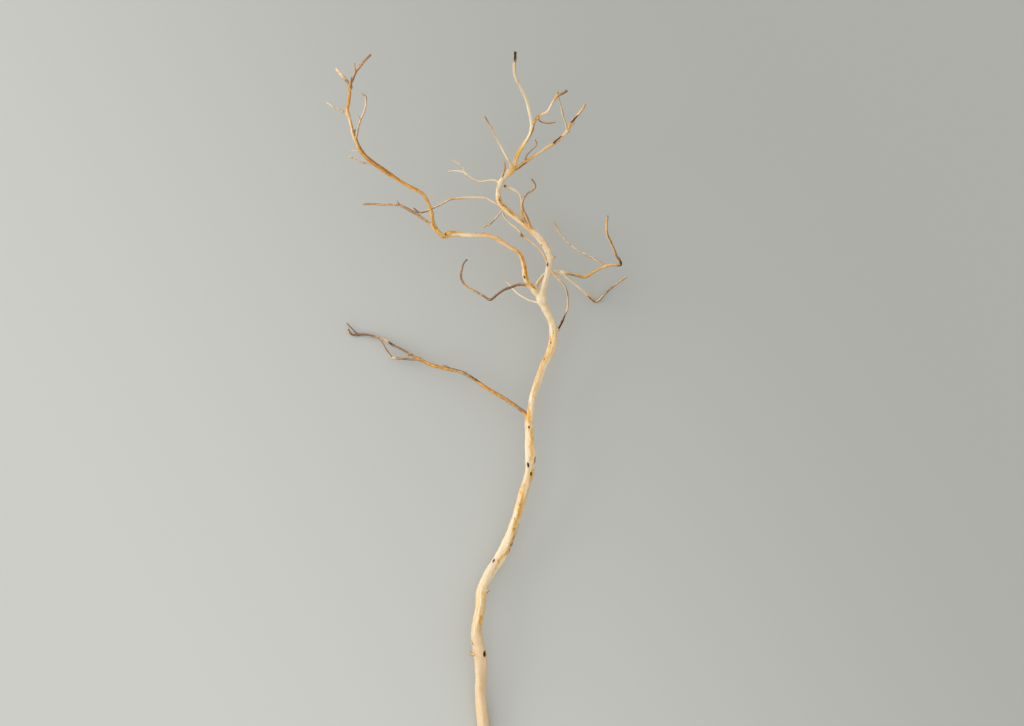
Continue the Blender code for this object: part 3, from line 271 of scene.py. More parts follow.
# How the wood's tone runs along a limb. Each stop has its place as seen from above, across and along, then
# how far the wood is from cream over honey to orange-brown, and how much of it bark or its grey-brown stain
# still covers. Below 0 the wood is bleached, and its shaded side is kept free of the bark of the painted
# shade too.
TONES = {
    "stem": [
        (7, 0, 0.26, 0), (4, 80, 0.25, 0), (1, 150, 0.22, 0), (-5, 206, 0.24, 0.02), (2, 284, 0.3, 0.04),
        (17, 319, -0.12, 0), (42, 357, 0, 0), (66, 427, 0.18, 0), (84, 500, 0.12, 0), (85, 560, 0.14, 0),
        (89, 615, 0.02, 0), (117, 688, 0.18, 0.02), (124, 722, 0.2, 0), (105, 783, -0.03, 0),
        (113, 824, -0.04, 0), (118, 850, 0.04, 0.02), (97, 891, 0.2, 0.02), (66, 918, 0.24, 0.02),
        (41, 939, 0.34, 0.1), (32, 958, 0.2, 0.05), (35, 981, 0.02, 0.03), (56, 1005, 0.26, 0.08),
        (65, 1031, 0.55, 0.22), (80, 1056, 0.2, 0.1), (87, 1072, -0.15, 0.03), (84, 1100, -0.2, 0),
        (70, 1138, 0.02, 0), (59, 1170, 0.22, 0.05), (59, 1183, 0.32, 0.15), (60, 1190, 0.5, 0.9),
        (60, 1203, 0.5, 1.02)],
    "butt_spur": [(0, 174, 0.1, 0), (-9, 178, 0.15, 0.2), (-17, 183, 0.3, 0.35)],
    "butt_spur_prong": [(-11, 178, 0.15, 0.2), (-18, 179, 0.3, 0.35)],
    "lower_nub": [(5, 284, 0.3, 0.2), (15, 288, 0.3, 0.5)],
    "upper_nub": [(124, 728, 0.45, 0.22), (134, 731, 0.5, 0.4)],
    "bend_spur": [(117, 846, 0.15, 0.05), (127, 857, 0.4, 0.4)],
    "low_side_branch": [
        (85, 570, 0.6, 0.32), (68, 597, 0.9, 0.5), (30, 621, 0.95, 0.42), (8, 634, 0.88, 0.28),
        (-10, 647, 0.75, 0.5), (-28, 658, 0.7, 0.5), (-50, 664, 0.78, 0.34), (-85, 673, 0.88, 0.28),
        (-98, 678, 0.8, 0.42), (-107, 683, 0.75, 0.45), (-125, 693, 0.7, 0.58), (-145, 704, 0.6, 0.66),
        (-152, 708, 0.5, 0.95), (-158, 712, 0.4, 0.3), (-172, 717, 0.5, 0.42), (-182, 721, 0.4, 0.68),
        (-195, 723, 0.4, 0.78), (-212, 723, 0.4, 0.7), (-224, 732, 0.45, 0.55)],
    "low_tip_twig": [(-209, 723, 0.5, 0.7), (-219, 734, 0.45, 0.55), (-227, 743, 0.35, 0.4)],
    "low_fork_arm": [
        (-104, 681, 0.8, 0.5), (-128, 682, 0.6, 0.62), (-150, 684, 0.35, 0.35), (-168, 712, 0.4, 0.5)],
    "low_fork_stub": [(-117, 689, 0.6, 0.35), (-123, 686, 0.6, 0.55)],
    "low_bark_snag": [(-49, 664, 0.6, 0.3), (-63, 671, 0.45, 0.7)],
    "pale_twig": [(108, 775, 0, 0), (70, 789, 0.05, 0.05), (43, 815, 0.25, 0.25)],
    "left_limb": [
        (104, 784, -0.15, 0), (89, 802, 0.06, 0.02), (78, 818, 0.45, 0.05), (71, 852, 0.46, 0.03),
        (52, 871, 0.2, 0.04), (12, 891, 0.34, 0.03), (-28, 893, 0.2, 0.03), (-45, 894, 0.35, 0.05),
        (-61, 890, 0.6, 0.2), (-77, 905, 0.66, 0.22), (-82, 930, 0.66, 0.03), (-91, 954, 0.78, 0),
        (-110, 970, 0.92, 0), (-150, 993, 1.0, 0), (-184, 1016, 1.05, 0.04), (-205, 1042, 0.9, 0.1),
        (-219, 1084, 0.6, 0.06), (-224, 1102, 0.8, 0.02), (-221, 1128, 1.0, 0.18),
        (-219, 1147, 0.85, 0.35), (-212, 1163, 0.75, 0.48), (-200, 1181, 0.65, 0.45),
        (-185, 1197, 0.6, 0.66)],
    "hook_twig": [
        (86, 805, 0.6, 0), (72, 808, 0.55, 0.4), (52, 803, 0.5, 0.66), (30, 791, 0.5, 0.72),
        (16, 783, 0.5, 0.68), (2, 791, 0.3, 0.56), (-20, 804, 0.5, 0.42), (-30, 815, 0.45, 0.7),
        (-30, 835, 0.45, 0.6), (-21, 851, 0.4, 0.85)],
    "left_side_twig": [
        (-78, 905, 0.6, 0.4), (-99, 921, 0.7, 0.52), (-122, 936, 0.7, 0.64), (-136, 943, 0.55, 0.5),
        (-167, 944, 0.45, 0.48), (-199, 944, 0.5, 0.55)],
    "left_side_spur": [(-135, 942, 0.4, 0.45), (-141, 951, 0.4, 0.45)],
    "curled_twig": [
        (-211, 1053, 0.6, 0.3), (-208, 1062, 0.5, 0.35), (-201, 1090, 0.3, 0.08), (-193, 1115, 0.45, 0.2),
        (-200, 1132, 0.55, 0.5)],
    "curled_twig_bud": [(-203, 1085, 0.2, 0.05), (-207, 1096, 0.3, 0.3)],
    "crotch_stub": [(-214, 1061, 0.5, 0.5), (-211, 1071, 0.4, 0.85)],
    "outer_twig": [(-223, 1097, 0.35, 0.48), (-261, 1118, 0.15, 0.46)],
    "short_pale_twig": [(-201, 1031, 0.5, 0.1), (-209, 1034, 0.1, 0), (-216, 1034, 0, 0)],
    "drooping_hair_twig": [(-184, 1017, 0.6, 0.45), (-224, 1027, 0.25, 0.5)],
    "fork_tine": [
        (-220, 1143, 0.65, 0.55), (-226, 1153, 0.55, 0.52), (-231, 1160, 0.35, 0.38),
        (-243, 1174, 0.3, 0.35)],
    "fork_stub": [(-219, 1146, 0.6, 0.42), (-217, 1159, 0.5, 0.65)],
    "needle_twig": [(-211, 1165, 0.6, 0.42), (-212, 1184, 0.5, 0.42)],
    "right_branch": [
        (94, 797, 0.3, 0), (101, 817, 0.3, 0), (129, 829, 0.26, 0.05), (153, 826, 0.4, 0.45),
        (177, 821, 0.7, 0.25), (195, 831, 0.5, 0.33), (224, 842, 0.5, 0.3), (236, 842, 0.7, 0.5),
        (231, 857, 0.65, 0.4), (226, 869, 0.5, 0.25), (217, 891, 0.5, 0.42), (215, 904, 0.45, 0.25),
        (217, 925, 0.5, 0.5)],
    "right_thin_arc": [(214, 839, 0.3, 0.48), (161, 870, 0.2, 0.46), (125, 919, 0.5, 0.42)],
    "right_lower_arm": [
        (140, 828, -0.05, -0.3), (170, 802, -0.05, -0.3), (186, 788, 0.25, 0.1), (196, 780, 0.4, 0.3),
        (219, 798, 0.4, 0.55), (241, 815, 0.45, 0.45), (249, 822, 0.4, 0.5)],
    "drooping_twig": [
        (122, 829, 0.25, 0.12), (134, 816, 0.3, 0.25), (148, 795, 0.45, 0.35), (149, 782, 0.6, 0.35),
        (149, 768, 0.35, 0.2), (147, 763, 0.4, 0.3), (144, 754, 0.6, 0.9), (140, 745, 0.5, 1.0),
        (134, 734, 0.4, 1.1)],
    "drooping_twig_bud": [(141, 748, 0.4, 0.35), (136, 745, 0.4, 0.35)],
    "inner_twig": [
        (117, 840, 0.2, 0.2), (109, 857, 0.3, 0.25), (90, 877, 0.25, 0.15), (76, 888, 0.4, 0.3),
        (71, 891, 0.6, 0.72), (66, 899, 0.3, 0.2), (50, 913, 0.15, 0.15), (38, 931, 0.3, 0.3)],
    "crossing_twig": [
        (86, 902, 0.55, 0.22), (79, 924, 0.65, 0.32), (72, 944, 0.6, 0.45), (81, 962, 0.5, 0.55),
        (94, 975, 0.5, 0.42), (88, 987, 0.45, 0.52)],
    "bowed_twig": [
        (79, 907, 0.4, 0.42), (71, 930, 0.6, 0.35), (70, 953, 0.2, 0.08), (56, 969, 0.1, 0),
        (46, 974, 0.3, 0.15), (41, 976, 0.5, 1.0)],
    "bowed_twig_snag": [(77, 909, 0.1, 0), (70, 918, 0.3, 0.6)],
    "knobby_twig": [(44, 937, 0.4, 0.2), (29, 923, 0.5, 0.4), (17, 911, 0.5, 0.5), (7, 906, 0.5, 0.4)],
    "long_thin_twig": [
        (41, 938, 0.4, 0.1), (28, 945, 0.2, 0.02), (-10, 956, 0.16, -0.12), (-50, 952, 0.5, 0.38),
        (-80, 938, 0.5, 0.35), (-100, 931, 0.5, 0.5), (-113, 938, 0.5, 0.45)],
    "side_fork_twig": [
        (34, 981, 0.1, 0), (0, 983, 0.12, 0.08), (-25, 998, 0.25, 0.2), (-49, 1020, 0.2, 0.2)],
    "side_fork_tine": [(-23, 996, 0.2, 0.12), (-55, 999, 0.25, 0.2)],
    "upright_stub": [(36, 983, 0.4, 0.22), (41, 1001, 0.5, 0.5), (41, 1017, 0.45, 0.42)],
    "slanting_twig": [
        (55, 1002, 0.28, 0), (44, 1026, 0.12, 0), (34, 1044, 0.2, 0.05), (18, 1076, 0.3, 0.12),
        (8, 1092, 0.65, 0.35)],
    "outer_right_branch": [
        (51, 999, 0.35, 0), (62, 1005, 0.4, 0.12), (78, 1017, 0.6, 0.22), (94, 1027, 0.38, 0.04),
        (112, 1039, 0.4, 0.04), (126, 1048, 0.4, 0.15), (139, 1059, 0.35, 0.1), (148, 1069, 0.3, 0.1),
        (152, 1078, 0.6, 0.12), (159, 1088, 0.4, 0.22), (170, 1101, 0.3, 0.1), (178, 1115, 0.7, 0.35)],
    "bent_riser": [(77, 1016, 0.7, 0.45), (95, 1044, 0.6, 0.5), (92, 1056, 0.5, 0.35)],
    "cross_riser": [(148, 1068, 0.1, 0.05), (146, 1078, 0.12, 0.05), (134, 1122, 0.35, 0.25)],
    "outer_right_bud": [(153, 1079, 0.4, 0.1), (161, 1083, 0.5, 0.4)],
    "outer_right_nub": [(147, 1068, 0.25, 0.45), (153, 1070, 0.3, 0.5)],
    "knuckle_arm": [
        (87, 1071, 0.75, 0.5), (97, 1091, 0.82, 0.28), (106, 1097, 0.4, 0.05), (119, 1110, 0, 0),
        (129, 1126, 0.6, 0.22), (138, 1131, 0.6, 0.55), (148, 1137, 0.55, 0.7)],
    "knuckle_spur": [(131, 1128, 0.6, 0.3), (131, 1137, 0.5, 0.4)],
    "knuckle_down_twig": [(98, 1092, 0.6, 0.3), (128, 1084, 0.5, 0.45)],
}

# Stains on the side that faces up: from and to, across and along as seen from above, half width as a share
# of the radius, and what they add towards orange-brown and of bark
STAINS = {
    "stem": [
        (1.8, 242, 0, 215, 0.22, 0.6, 0.2), (20.8, 316, 31.7, 336, 0.28, 0.4, 0.3),
        (32, 337, 52.6, 367, 0.28, 0.55, 0.4), (52.6, 367, 58.5, 394, 0.3, 0.55, 0.3),
        (58.5, 394, 69.3, 435, 0.3, 0.5, 0.2), (69.3, 435, 75, 468, 0.38, 0.4, 0.08),
        (48, 352, 60, 380, 0.12, 0.2, 0.45), (62, 384, 66, 402, 0.1, 0.1, 0.5),
        (84, 474, 89, 492, 0.35, 0.3, 0.1), (87, 512, 86.5, 560, 0.26, 0.38, 0.15),
        (84.5, 575, 83, 606, 0.26, 0.6, 0.3), (92.5, 507, 92, 513, 0.12, 0.3, 0.8),
        (-12.8, 197, -12.5, 204, 0.15, 0.2, 0.6), (-9, 250, -2, 205, 0.4, -0.1, 0),
        (120, 718, 118, 702, 0.3, 0.35, 0.12), (111, 694, 103, 664, 0.35, 0.34, 0.08),
        (100, 660, 89, 618, 0.32, 0.36, 0.06), (101, 640, 93, 612, 0.3, 0.15, 0),
        (32.5, 986, 30, 966, 0.4, 0.3, 0.2), (32, 956, 41, 941, 0.45, 0.4, 0.45),
        (44, 939, 56, 927, 0.3, 0.35, 0.5), (117, 873, 104, 893, 0.35, 0.25, 0.1),
        (87, 903, 77, 909, 0.5, 0.3, 0.3), (110, 800, 116, 836, 0.25, 0.2, 0),
        (52, 1002, 57, 1009, 0.7, 0.45, 0.15), (81.5, 1052, 89, 1074, 0.45, 0.35, 0.35),
        (62, 1148, 66, 1154, 0.8, 0.35, 0.15), (60, 1024, 70, 1044, 0.35, 0.25, 0.1),
        (113, 780, 119, 750, 0.4, 0.15, 0), (126, 732, 120, 690, 0.35, 0.14, 0),
        (10, 150, 8, 70, 0.4, 0.08, 0), (-4, 160, -2, 90, 0.25, 0.06, 0)],
    "left_limb": [
        (97, 797, 88, 809, 0.35, 0.35, 0.5), (90, 804, 77, 838, 0.35, 0.4, 0.1),
        (76, 838, 64, 864, 0.4, 0.45, 0.03), (80, 806, 71, 848, 0.3, -0.4, 0),
        (58, 872, 30, 889, 0.35, 0.3, 0.03), (-6, 896.3, 6, 896.3, 0.2, 0.3, 0.75),
        (15, 894, -48, 897, 0.25, 0.2, 0.1), (-44, 897, -70, 893, 0.5, 0.35, 0.2),
        (-112, 968, -182, 1013, 0.3, -0.3, 0), (-118, 977, -190, 1024, 0.4, 0.2, 0.08),
        (-178, 1014, -202, 1040, 0.35, 0.2, 0.3), (-205, 1036, -225, 1104, 0.4, -0.5, 0),
        (-206, 1048, -217, 1078, 0.3, 0.5, 0.4), (-77, 905, -82, 918, 0.5, 0.3, 0.4)],
    "low_side_branch": [
        (-1, 644, -14, 652, 0.4, 0.1, 0.5), (-24, 658, -44, 665, 0.4, 0.1, 0.4),
        (84, 572, 70, 596, 0.4, 0.4, 0.2), (60, 601, 20, 626, 0.3, -0.25, 0)],
    "outer_right_branch": [
        (125.2, 1049.4, 136.6, 1058.9, 0.6, 0.3, 1.0), (155.2, 1083.6, 163.5, 1093.5, 0.6, 0.3, 0.92),
        (60, 1003, 74, 1013, 0.35, 0.4, 0.5)],
    "knuckle_arm": [(96, 1091, 103, 1096, 0.6, 0.3, 0.3)],
    "right_lower_arm": [(184, 788, 193, 780, 0.45, 0.2, 0.8)],
    "right_branch": [(238, 839, 239, 847, 0.7, 0.2, 0.4), (150, 824, 172, 820, 0.4, 0.25, 0.1)],
    "drooping_twig": [(140, 812, 149, 790, 0.35, 0.4, 0.4)],
}

# Lost twigs' scars: place seen from above, half width, half length, depth, and lean in degrees
KNOTS = {
    "stem": [
        (7.6, 181, 3.2, 5.4, 5.0, 8), (23.3, 338.5, 2.0, 3.9, 3.4, 25), (82, 502, 1.8, 4.4, 3.6, -8),
        (87.5, 486.5, 2.0, 3.8, 3.6, -12), (83.5, 565.5, 1.3, 2.6, 2.2, 0), (115, 843, 1.7, 3.6, 3.0, 5),
        (11, 285, 1.2, 1.6, 0.8, 0), (120, 710, 0.8, 1.5, 0.5, 0), (110, 683, 0.8, 1.5, 0.5, 0),
        (59, 412, 0.7, 1.6, 0.4, -15), (104, 876, 0.8, 1.5, 0.6, -42), (33, 952, 0.9, 2.0, 1.0, -35),
        (40, 943, 0.7, 1.6, 0.6, -40)],
    "inner_twig": [(115.2, 844, 1.5, 2.8, 1.0, 5)],
    "left_limb": [
        (-59, 893, 1.5, 1.9, 2.2, 0), (75, 821.5, 1.6, 3.3, 2.2, -20), (-164, 1007, 1.1, 1.8, 1.0, -60)],
    "low_side_branch": [(-6, 645.5, 0.9, 1.8, 1.0, -52), (-12, 649.5, 0.8, 1.4, 0.9, -60)],
}

# Swollen places: place seen from above, half width, half length and height
LUMPS = {
    "left_limb": [
        (-51, 896, 3.0, 4.0, 1.3), (-65, 889, 3.0, 3.5, 1.1), (76, 826, 2.5, 4.0, 0.6),
        (-86, 944, 2.5, 4.0, 0.6), (-150, 996, 2.5, 5.0, 0.5)],
    "stem": [
        (30, 955, 3.0, 4.0, 1.0), (46, 936, 2.5, 4.0, 0.7), (88, 1072, 2.0, 3.0, 0.8),
        (66, 1136, 1.5, 2.5, 0.5), (62, 1158, 1.3, 2.5, 0.4), (10, 284, 4.0, 5.0, 1.0),
        (-13, 205, 4.0, 7.0, 1.0), (90, 590, 3.5, 7.0, 0.8), (54, 1003, 3.0, 4.0, 0.9)],
    "knuckle_arm": [(130, 1127, 2.2, 2.5, 1.1)],
    "outer_right_branch": [
        (152, 1078, 2.2, 2.8, 1.2), (78, 1018, 2.2, 3.0, 0.7), (159, 1089, 1.5, 2.5, 0.5)],
    "right_branch": [(239, 843, 2.0, 2.5, 0.7), (180, 821, 2.0, 3.0, 0.5), (231, 858, 1.3, 2.0, 0.5)],
    "low_side_branch": [
        (-8, 647, 2.0, 3.0, 0.6), (-27, 658, 2.0, 3.0, 0.6), (-160, 713, 1.5, 2.0, 0.6),
        (-107, 683, 2.0, 3.0, 0.6)],
    "left_side_twig": [(-100, 922, 1.5, 2.0, 0.6), (-121, 936, 1.5, 2.0, 0.7)],
    "inner_twig": [(72, 891, 1.6, 2.2, 1.0)],
    "knobby_twig": [(30, 924, 1.2, 2.0, 0.7), (16, 910, 1.2, 1.6, 0.8)],
    "crossing_twig": [(83, 965, 1.0, 2.0, 0.5)],
    "bowed_twig": [(69, 958, 1.2, 2.0, 0.6)],
    "right_lower_arm": [(196, 780, 1.8, 3.0, 0.5)],
    "drooping_twig": [(149, 785, 1.3, 2.0, 0.5)],
    "upright_stub": [(41, 1002, 1.0, 2.0, 0.5)],
    "hook_twig": [(18, 783, 1.5, 2.0, 0.5), (-31, 824, 1.2, 2.0, 0.5)],
    "curled_twig": [(-201, 1090, 0.8, 1.5, 0.4)],
}

# Limbs that were torn off and not cut, and how many splinters stand at their ends
TORN = {
    "butt_spur": 1.0, "butt_spur_prong": 1.0, "lower_nub": 0.7, "upper_nub": 0.7, "bend_spur": 0.6,
    "low_bark_snag": 1.0, "low_fork_stub": 0.6, "left_side_spur": 0.5, "crotch_stub": 1.0,
    "fork_stub": 0.7, "knuckle_spur": 0.7, "bowed_twig_snag": 0.8, "outer_right_nub": 0.7,
    "outer_right_bud": 0.5, "drooping_twig_bud": 0.6, "curled_twig_bud": 0.4,
}

# Splinters: how many for each square millimetre, length and thickness as shares of the limb's radius, and
# how far they lean. The shortest is this share of the longest.
SPLINTERS = {"Density": 0.9, "Length": 1.6, "Thickness": 0.16, "Spread": 0.28}
SHORTEST_SPLINTER = 0.35
# The weathered surface in millimetres. Its relief grows with the limb's radius up to its full height.
RELIEF_PER_RADIUS = 0.14
WEATHERING = {"Fibre height": 0.28, "Fibre width": 2.2, "Fibre length": 22.0, "Bark thickness": 0.25}

# Painted light and shade: the side away from the sun is painted with more honey and bark, darker, and the
# side towards it paler, most of all on thin limbs
PAINTED_SHADE_SIDE = np.array([0.8, -0.55, -0.24])
PAINTED_SHADE_HONEY = 0.3
PAINTED_SHADE_BARK = 0.8
PAINTED_SHADE_REACH = 0.3
PAINTED_SHADE_LIMIT = 0.82
THIN_RADIUS = 2.5

# The wood's colours: bleached and clean sapwood and the duller patina of the thick end, then honey,
# orange-brown and red-brown stain, bark from pale to dark, the black of a scar with painted shade in its
# pit, and the heartwood of fine lines and the pith
BLEACHED = (0.84, 0.74, 0.54)
CREAM = (0.74, 0.57, 0.36)
PATINA = (0.68, 0.515, 0.335)
HONEY = (0.7, 0.385, 0.088)
ORANGE_BROWN = (0.55, 0.235, 0.03)
RED_BROWN = (0.3, 0.12, 0.022)
PALE_BARK = (0.37, 0.225, 0.12)
GREY_BARK = (0.19, 0.108, 0.065)
DARK_BARK = (0.036, 0.012, 0.004)
SCAR_BLACK_AND_PIT_SHADE = (0.018, 0.008, 0.0045)
HEARTWOOD = (0.38, 0.185, 0.065)
# How much stain it takes for each of its colours to start and to be full
STAIN_COLOURS = ((0.12, 0.52, HONEY), (0.58, 1.08, ORANGE_BROWN), (0.95, 1.6, RED_BROWN))
# The limb's radius in millimetres where the patina starts and is full, and how much it then covers
PATINA_GIRTH = (8.9, 9.7)
PATINA_SHARE = 0.68

# Patterns that follow the grain: scale across and along it per millimetre, detail, roughness, distortion
PATTERNS = {
    "broad": (0.22, 0.014, 3.0, 0.55, 0.5),
    "streak": (0.8, 0.035, 4.0, 0.6, 0.3),
    "fine": (2.4, 0.1, 3.0, 0.6, 0.0),
    "hair": (6.0, 0.3, 2.0, 0.6, 0.0),
    "mottle": (0.5, 0.17, 4.0, 0.65, 0.0),
    "crack": (1.5, 0.022, 2.0, 0.5, 0.0),
    "speck": (0.6, 0.3, 1.0, 0.5, 0.0),
    "patch": (0.9, 0.22, 4.0, 0.7, 0.0),
    "scales": (0.55, 0.16, 3.0, 0.6, 0.0),
    "crumbs": (1.8, 0.5, 3.0, 0.6, 0.0),
}
SURFACE_IOR = 1.45
WOOD_SHEEN = 0.18
WOOD_BUMP = 0.0006
SAW_BUMP = 0.0003
BUMP_STRENGTH = 0.6
SAW_ROUGHNESS = 0.75

# The surface of the grown wood: lobes round a limb, their count and height as a share of its radius, how
# they turn and wander along it, and slow swells, their length and height. Thin limbs are knobbier. Where a
# limb leaves another it swells into a collar, and a fillet joins the two.
LOBES = ((1, 0.03), (2, 0.05), (3, 0.035), (4, 0.018), (5, 0.012), (7, 0.008))
LOBE_TURN = 0.035
LOBE_WANDER = 1.4
WANDER_LENGTH = 31
SWELLS = ((67.0, 0.02), (29.0, 0.018), (13.0, 0.016))
KNOBBINESS = 3.0
KNOBBY_RADIUS = 2.4
COLLAR_SWELL = 0.35
COLLAR_REACH = 1.2
FILLET = 1.5
FILLET_REACH = 2.5
LEAST_FILLET = 1e-3

# Healed-over buds: one for every so many millimetres, off the limb's root, with sizes and heights as shares
# of its radius, and how many half lengths a bump reaches
FIRST_SEED = 1000
BUD_SPACING = 17.0
BUD_START = 4
BUD_SIZES = (0.35, 0.8)
LEAST_BUD = 0.3
BUD_HEIGHTS = (0.04, 0.11)
BUD_LENGTH = 1.8
BUMP_SPAN = 3

# A scar's pit, rim, black floor, partly painted shade, and stained halo, in its half sizes out from its
# middle. The rim's height is a share of the scar's half width, which counts up to the limit.
PIT_EDGE = 1.05
PIT_SLOPE = 0.5
RIM_PLACE = 1.35
RIM_WIDTH = 0.4
RIM_HEIGHT = 0.16
RIM_LIMIT = 2
SCAR_EDGE = 1.15
SCAR_FADE = 0.35
HALO_REACH = 2.2
HALO_HONEY = 0.12

# A stain fades out past its ends and down the limb's sides, and wanders: lengths in millimetres and shares
# of the radius. A place seen from above is kept inside the limb's edge.
STAIN_FADE = 5.0
SIDE_FADE = 2
SIDE_START = 0.5
EDGE_SHARE = 0.98
STAIN_DRIFT = ((3.7, 0.09), (1.5, 0.06), (9.0, 0.06))

# A limb's end: how far from flat, the waves round it, and how round its edge is, as shares of the radius
RAGGED_END = 0.3
RAGGED_WAVES = ((2, 1.0), (5, 0.6))
END_ROUNDING = 0.55

# Making the surface, in millimetres where it is a length. The grid is finer on thin limbs and round scars.
PAST_CUT = 5.0
RING_SPACING = 1.5
TUBE_SIDES = 20
THIN_START = 1.2
REACH = 7.0
NEAR_SURFACE = 1.5
FINE_BELOW = 1.9
FINE_ROUND_SCARS = 1.7
LAYING_ROUNDS = 5
SMOOTHING_STEPS = 3
SMOOTHING_SHARE = 0.6
LONGEST_MOVE = 1.5
LAST_MOVE = 0.5
TONE_BLEND = 0.9
BLEND_REACH = 5 * TONE_BLEND
GROUND_GAP = 0.02

# Cutting: how far round its middle a cut reaches, as a share of the radius. The saw cut: its rings of faces,
# how deep, sunk and close its marks are, and which way its faces point.
CUT_REACH = 1.3
CUT_STEP = 0.5
SAW_RINGS = (0.97, 0.9, 0.88, 0.85, 0.8, 0.75, 0.65, 0.5, 0.4)
SAW_DEPTH = 0.1
SAW_SUNK = 0.3
SAW_MARKS = 0.9
SAW_FACING = -0.6

# The floor, the light and the camera, in metres and degrees, but for the view's middle, which is a place of
# the drawing. The sun's bearing goes clockwise from the picture's top. The sky is brighter on one side.
FLOOR_SIDE = 40.0
# The floor's grey is painted a little darker across the picture: a painted falloff of light
FLOOR_LIGHT = (0.54, 0.55, 0.525)
FLOOR_PAINTED_SHADE = (0.37, 0.38, 0.357)
FLOOR_PAINTED_FALLOFF = (-0.75, 0.75)
FLOOR_PAINTED_FALLOFF_TURN = 30.0
FLOOR_ROUGHNESS = 0.9
FLOOR_SHEEN = 0.1
SUN_STRENGTH = 1.5
SUN_ELEVATION = 12.0
SUN_BEARING = -75.0
SUN_WIDTH = 40.0
SUN_COLOUR = (1.0, 0.985, 0.965)
SKY_COLOUR = (1.0, 0.993, 0.97)
SKY_STRENGTH = 1.02
SKY_BRIGHT_SIDE = (-0.96, 0.28, 0.0)
SKY_LEAN = 0.35
CAMERA_HEIGHT = 40.0
CLIP_RANGE = (1.0, 200.0)
SENSOR_WIDTH = 36.0
# The view is as wide as 1024 pixels of 1.7 mm, measured at the height of the stem's middle
VIEW_WIDTH = 1.7408
VIEW_MIDDLE = (54.4, 674.9)
VIEW_LEVEL = 0.06

Scar = namedtuple("Scar", "distance angle half_width half_length depth lean")


def smooth_curve(stations):
    """A centripetal Catmull-Rom curve through the stations: distances along it, points and radii."""
    knots = np.array(stations, float)
    knots = np.vstack([2 * knots[0] - knots[1], knots, 2 * knots[-1] - knots[-2]])
    gaps = np.linalg.norm(np.diff(knots[:, :3], axis=0), axis=1) ** 0.5
    times = np.concatenate([[0], np.cumsum(gaps)])
    samples = []
    for i in range(1, len(knots) - 2):
        count = max(2, math.ceil(np.linalg.norm(knots[i + 1, :3] - knots[i, :3]) / CURVE_STEP))
        t = np.linspace(times[i], times[i + 1], count, endpoint=False)[:, None]
        t0, t1, t2, t3 = times[i - 1 : i + 3]
        p0, p1, p2, p3 = knots[i - 1 : i + 3]
        a1 = (p0 * (t1 - t) + p1 * (t - t0)) / (t1 - t0)
        a2 = (p1 * (t2 - t) + p2 * (t - t1)) / (t2 - t1)
        a3 = (p2 * (t3 - t) + p3 * (t - t2)) / (t3 - t2)
        b1 = (a1 * (t2 - t) + a2 * (t - t0)) / (t2 - t0)
        b2 = (a2 * (t3 - t) + a3 * (t - t1)) / (t3 - t1)
        samples.append((b1 * (t2 - t) + b2 * (t - t1)) / (t2 - t1))
    samples = np.vstack(samples + [knots[-2:-1]])
    steps = np.linalg.norm(np.diff(samples[:, :3], axis=0), axis=1)
    return np.concatenate([[0], np.cumsum(steps)]), samples[:, :3], samples[:, 3]


def unit(vectors):
    return vectors / np.maximum(np.linalg.norm(vectors, axis=-1, keepdims=True), 1e-9)


def ease(values):
    values = np.clip(values, 0, 1)
    return values * values * (3 - 2 * values)


def bell(values):
    return np.exp(-(values**2))


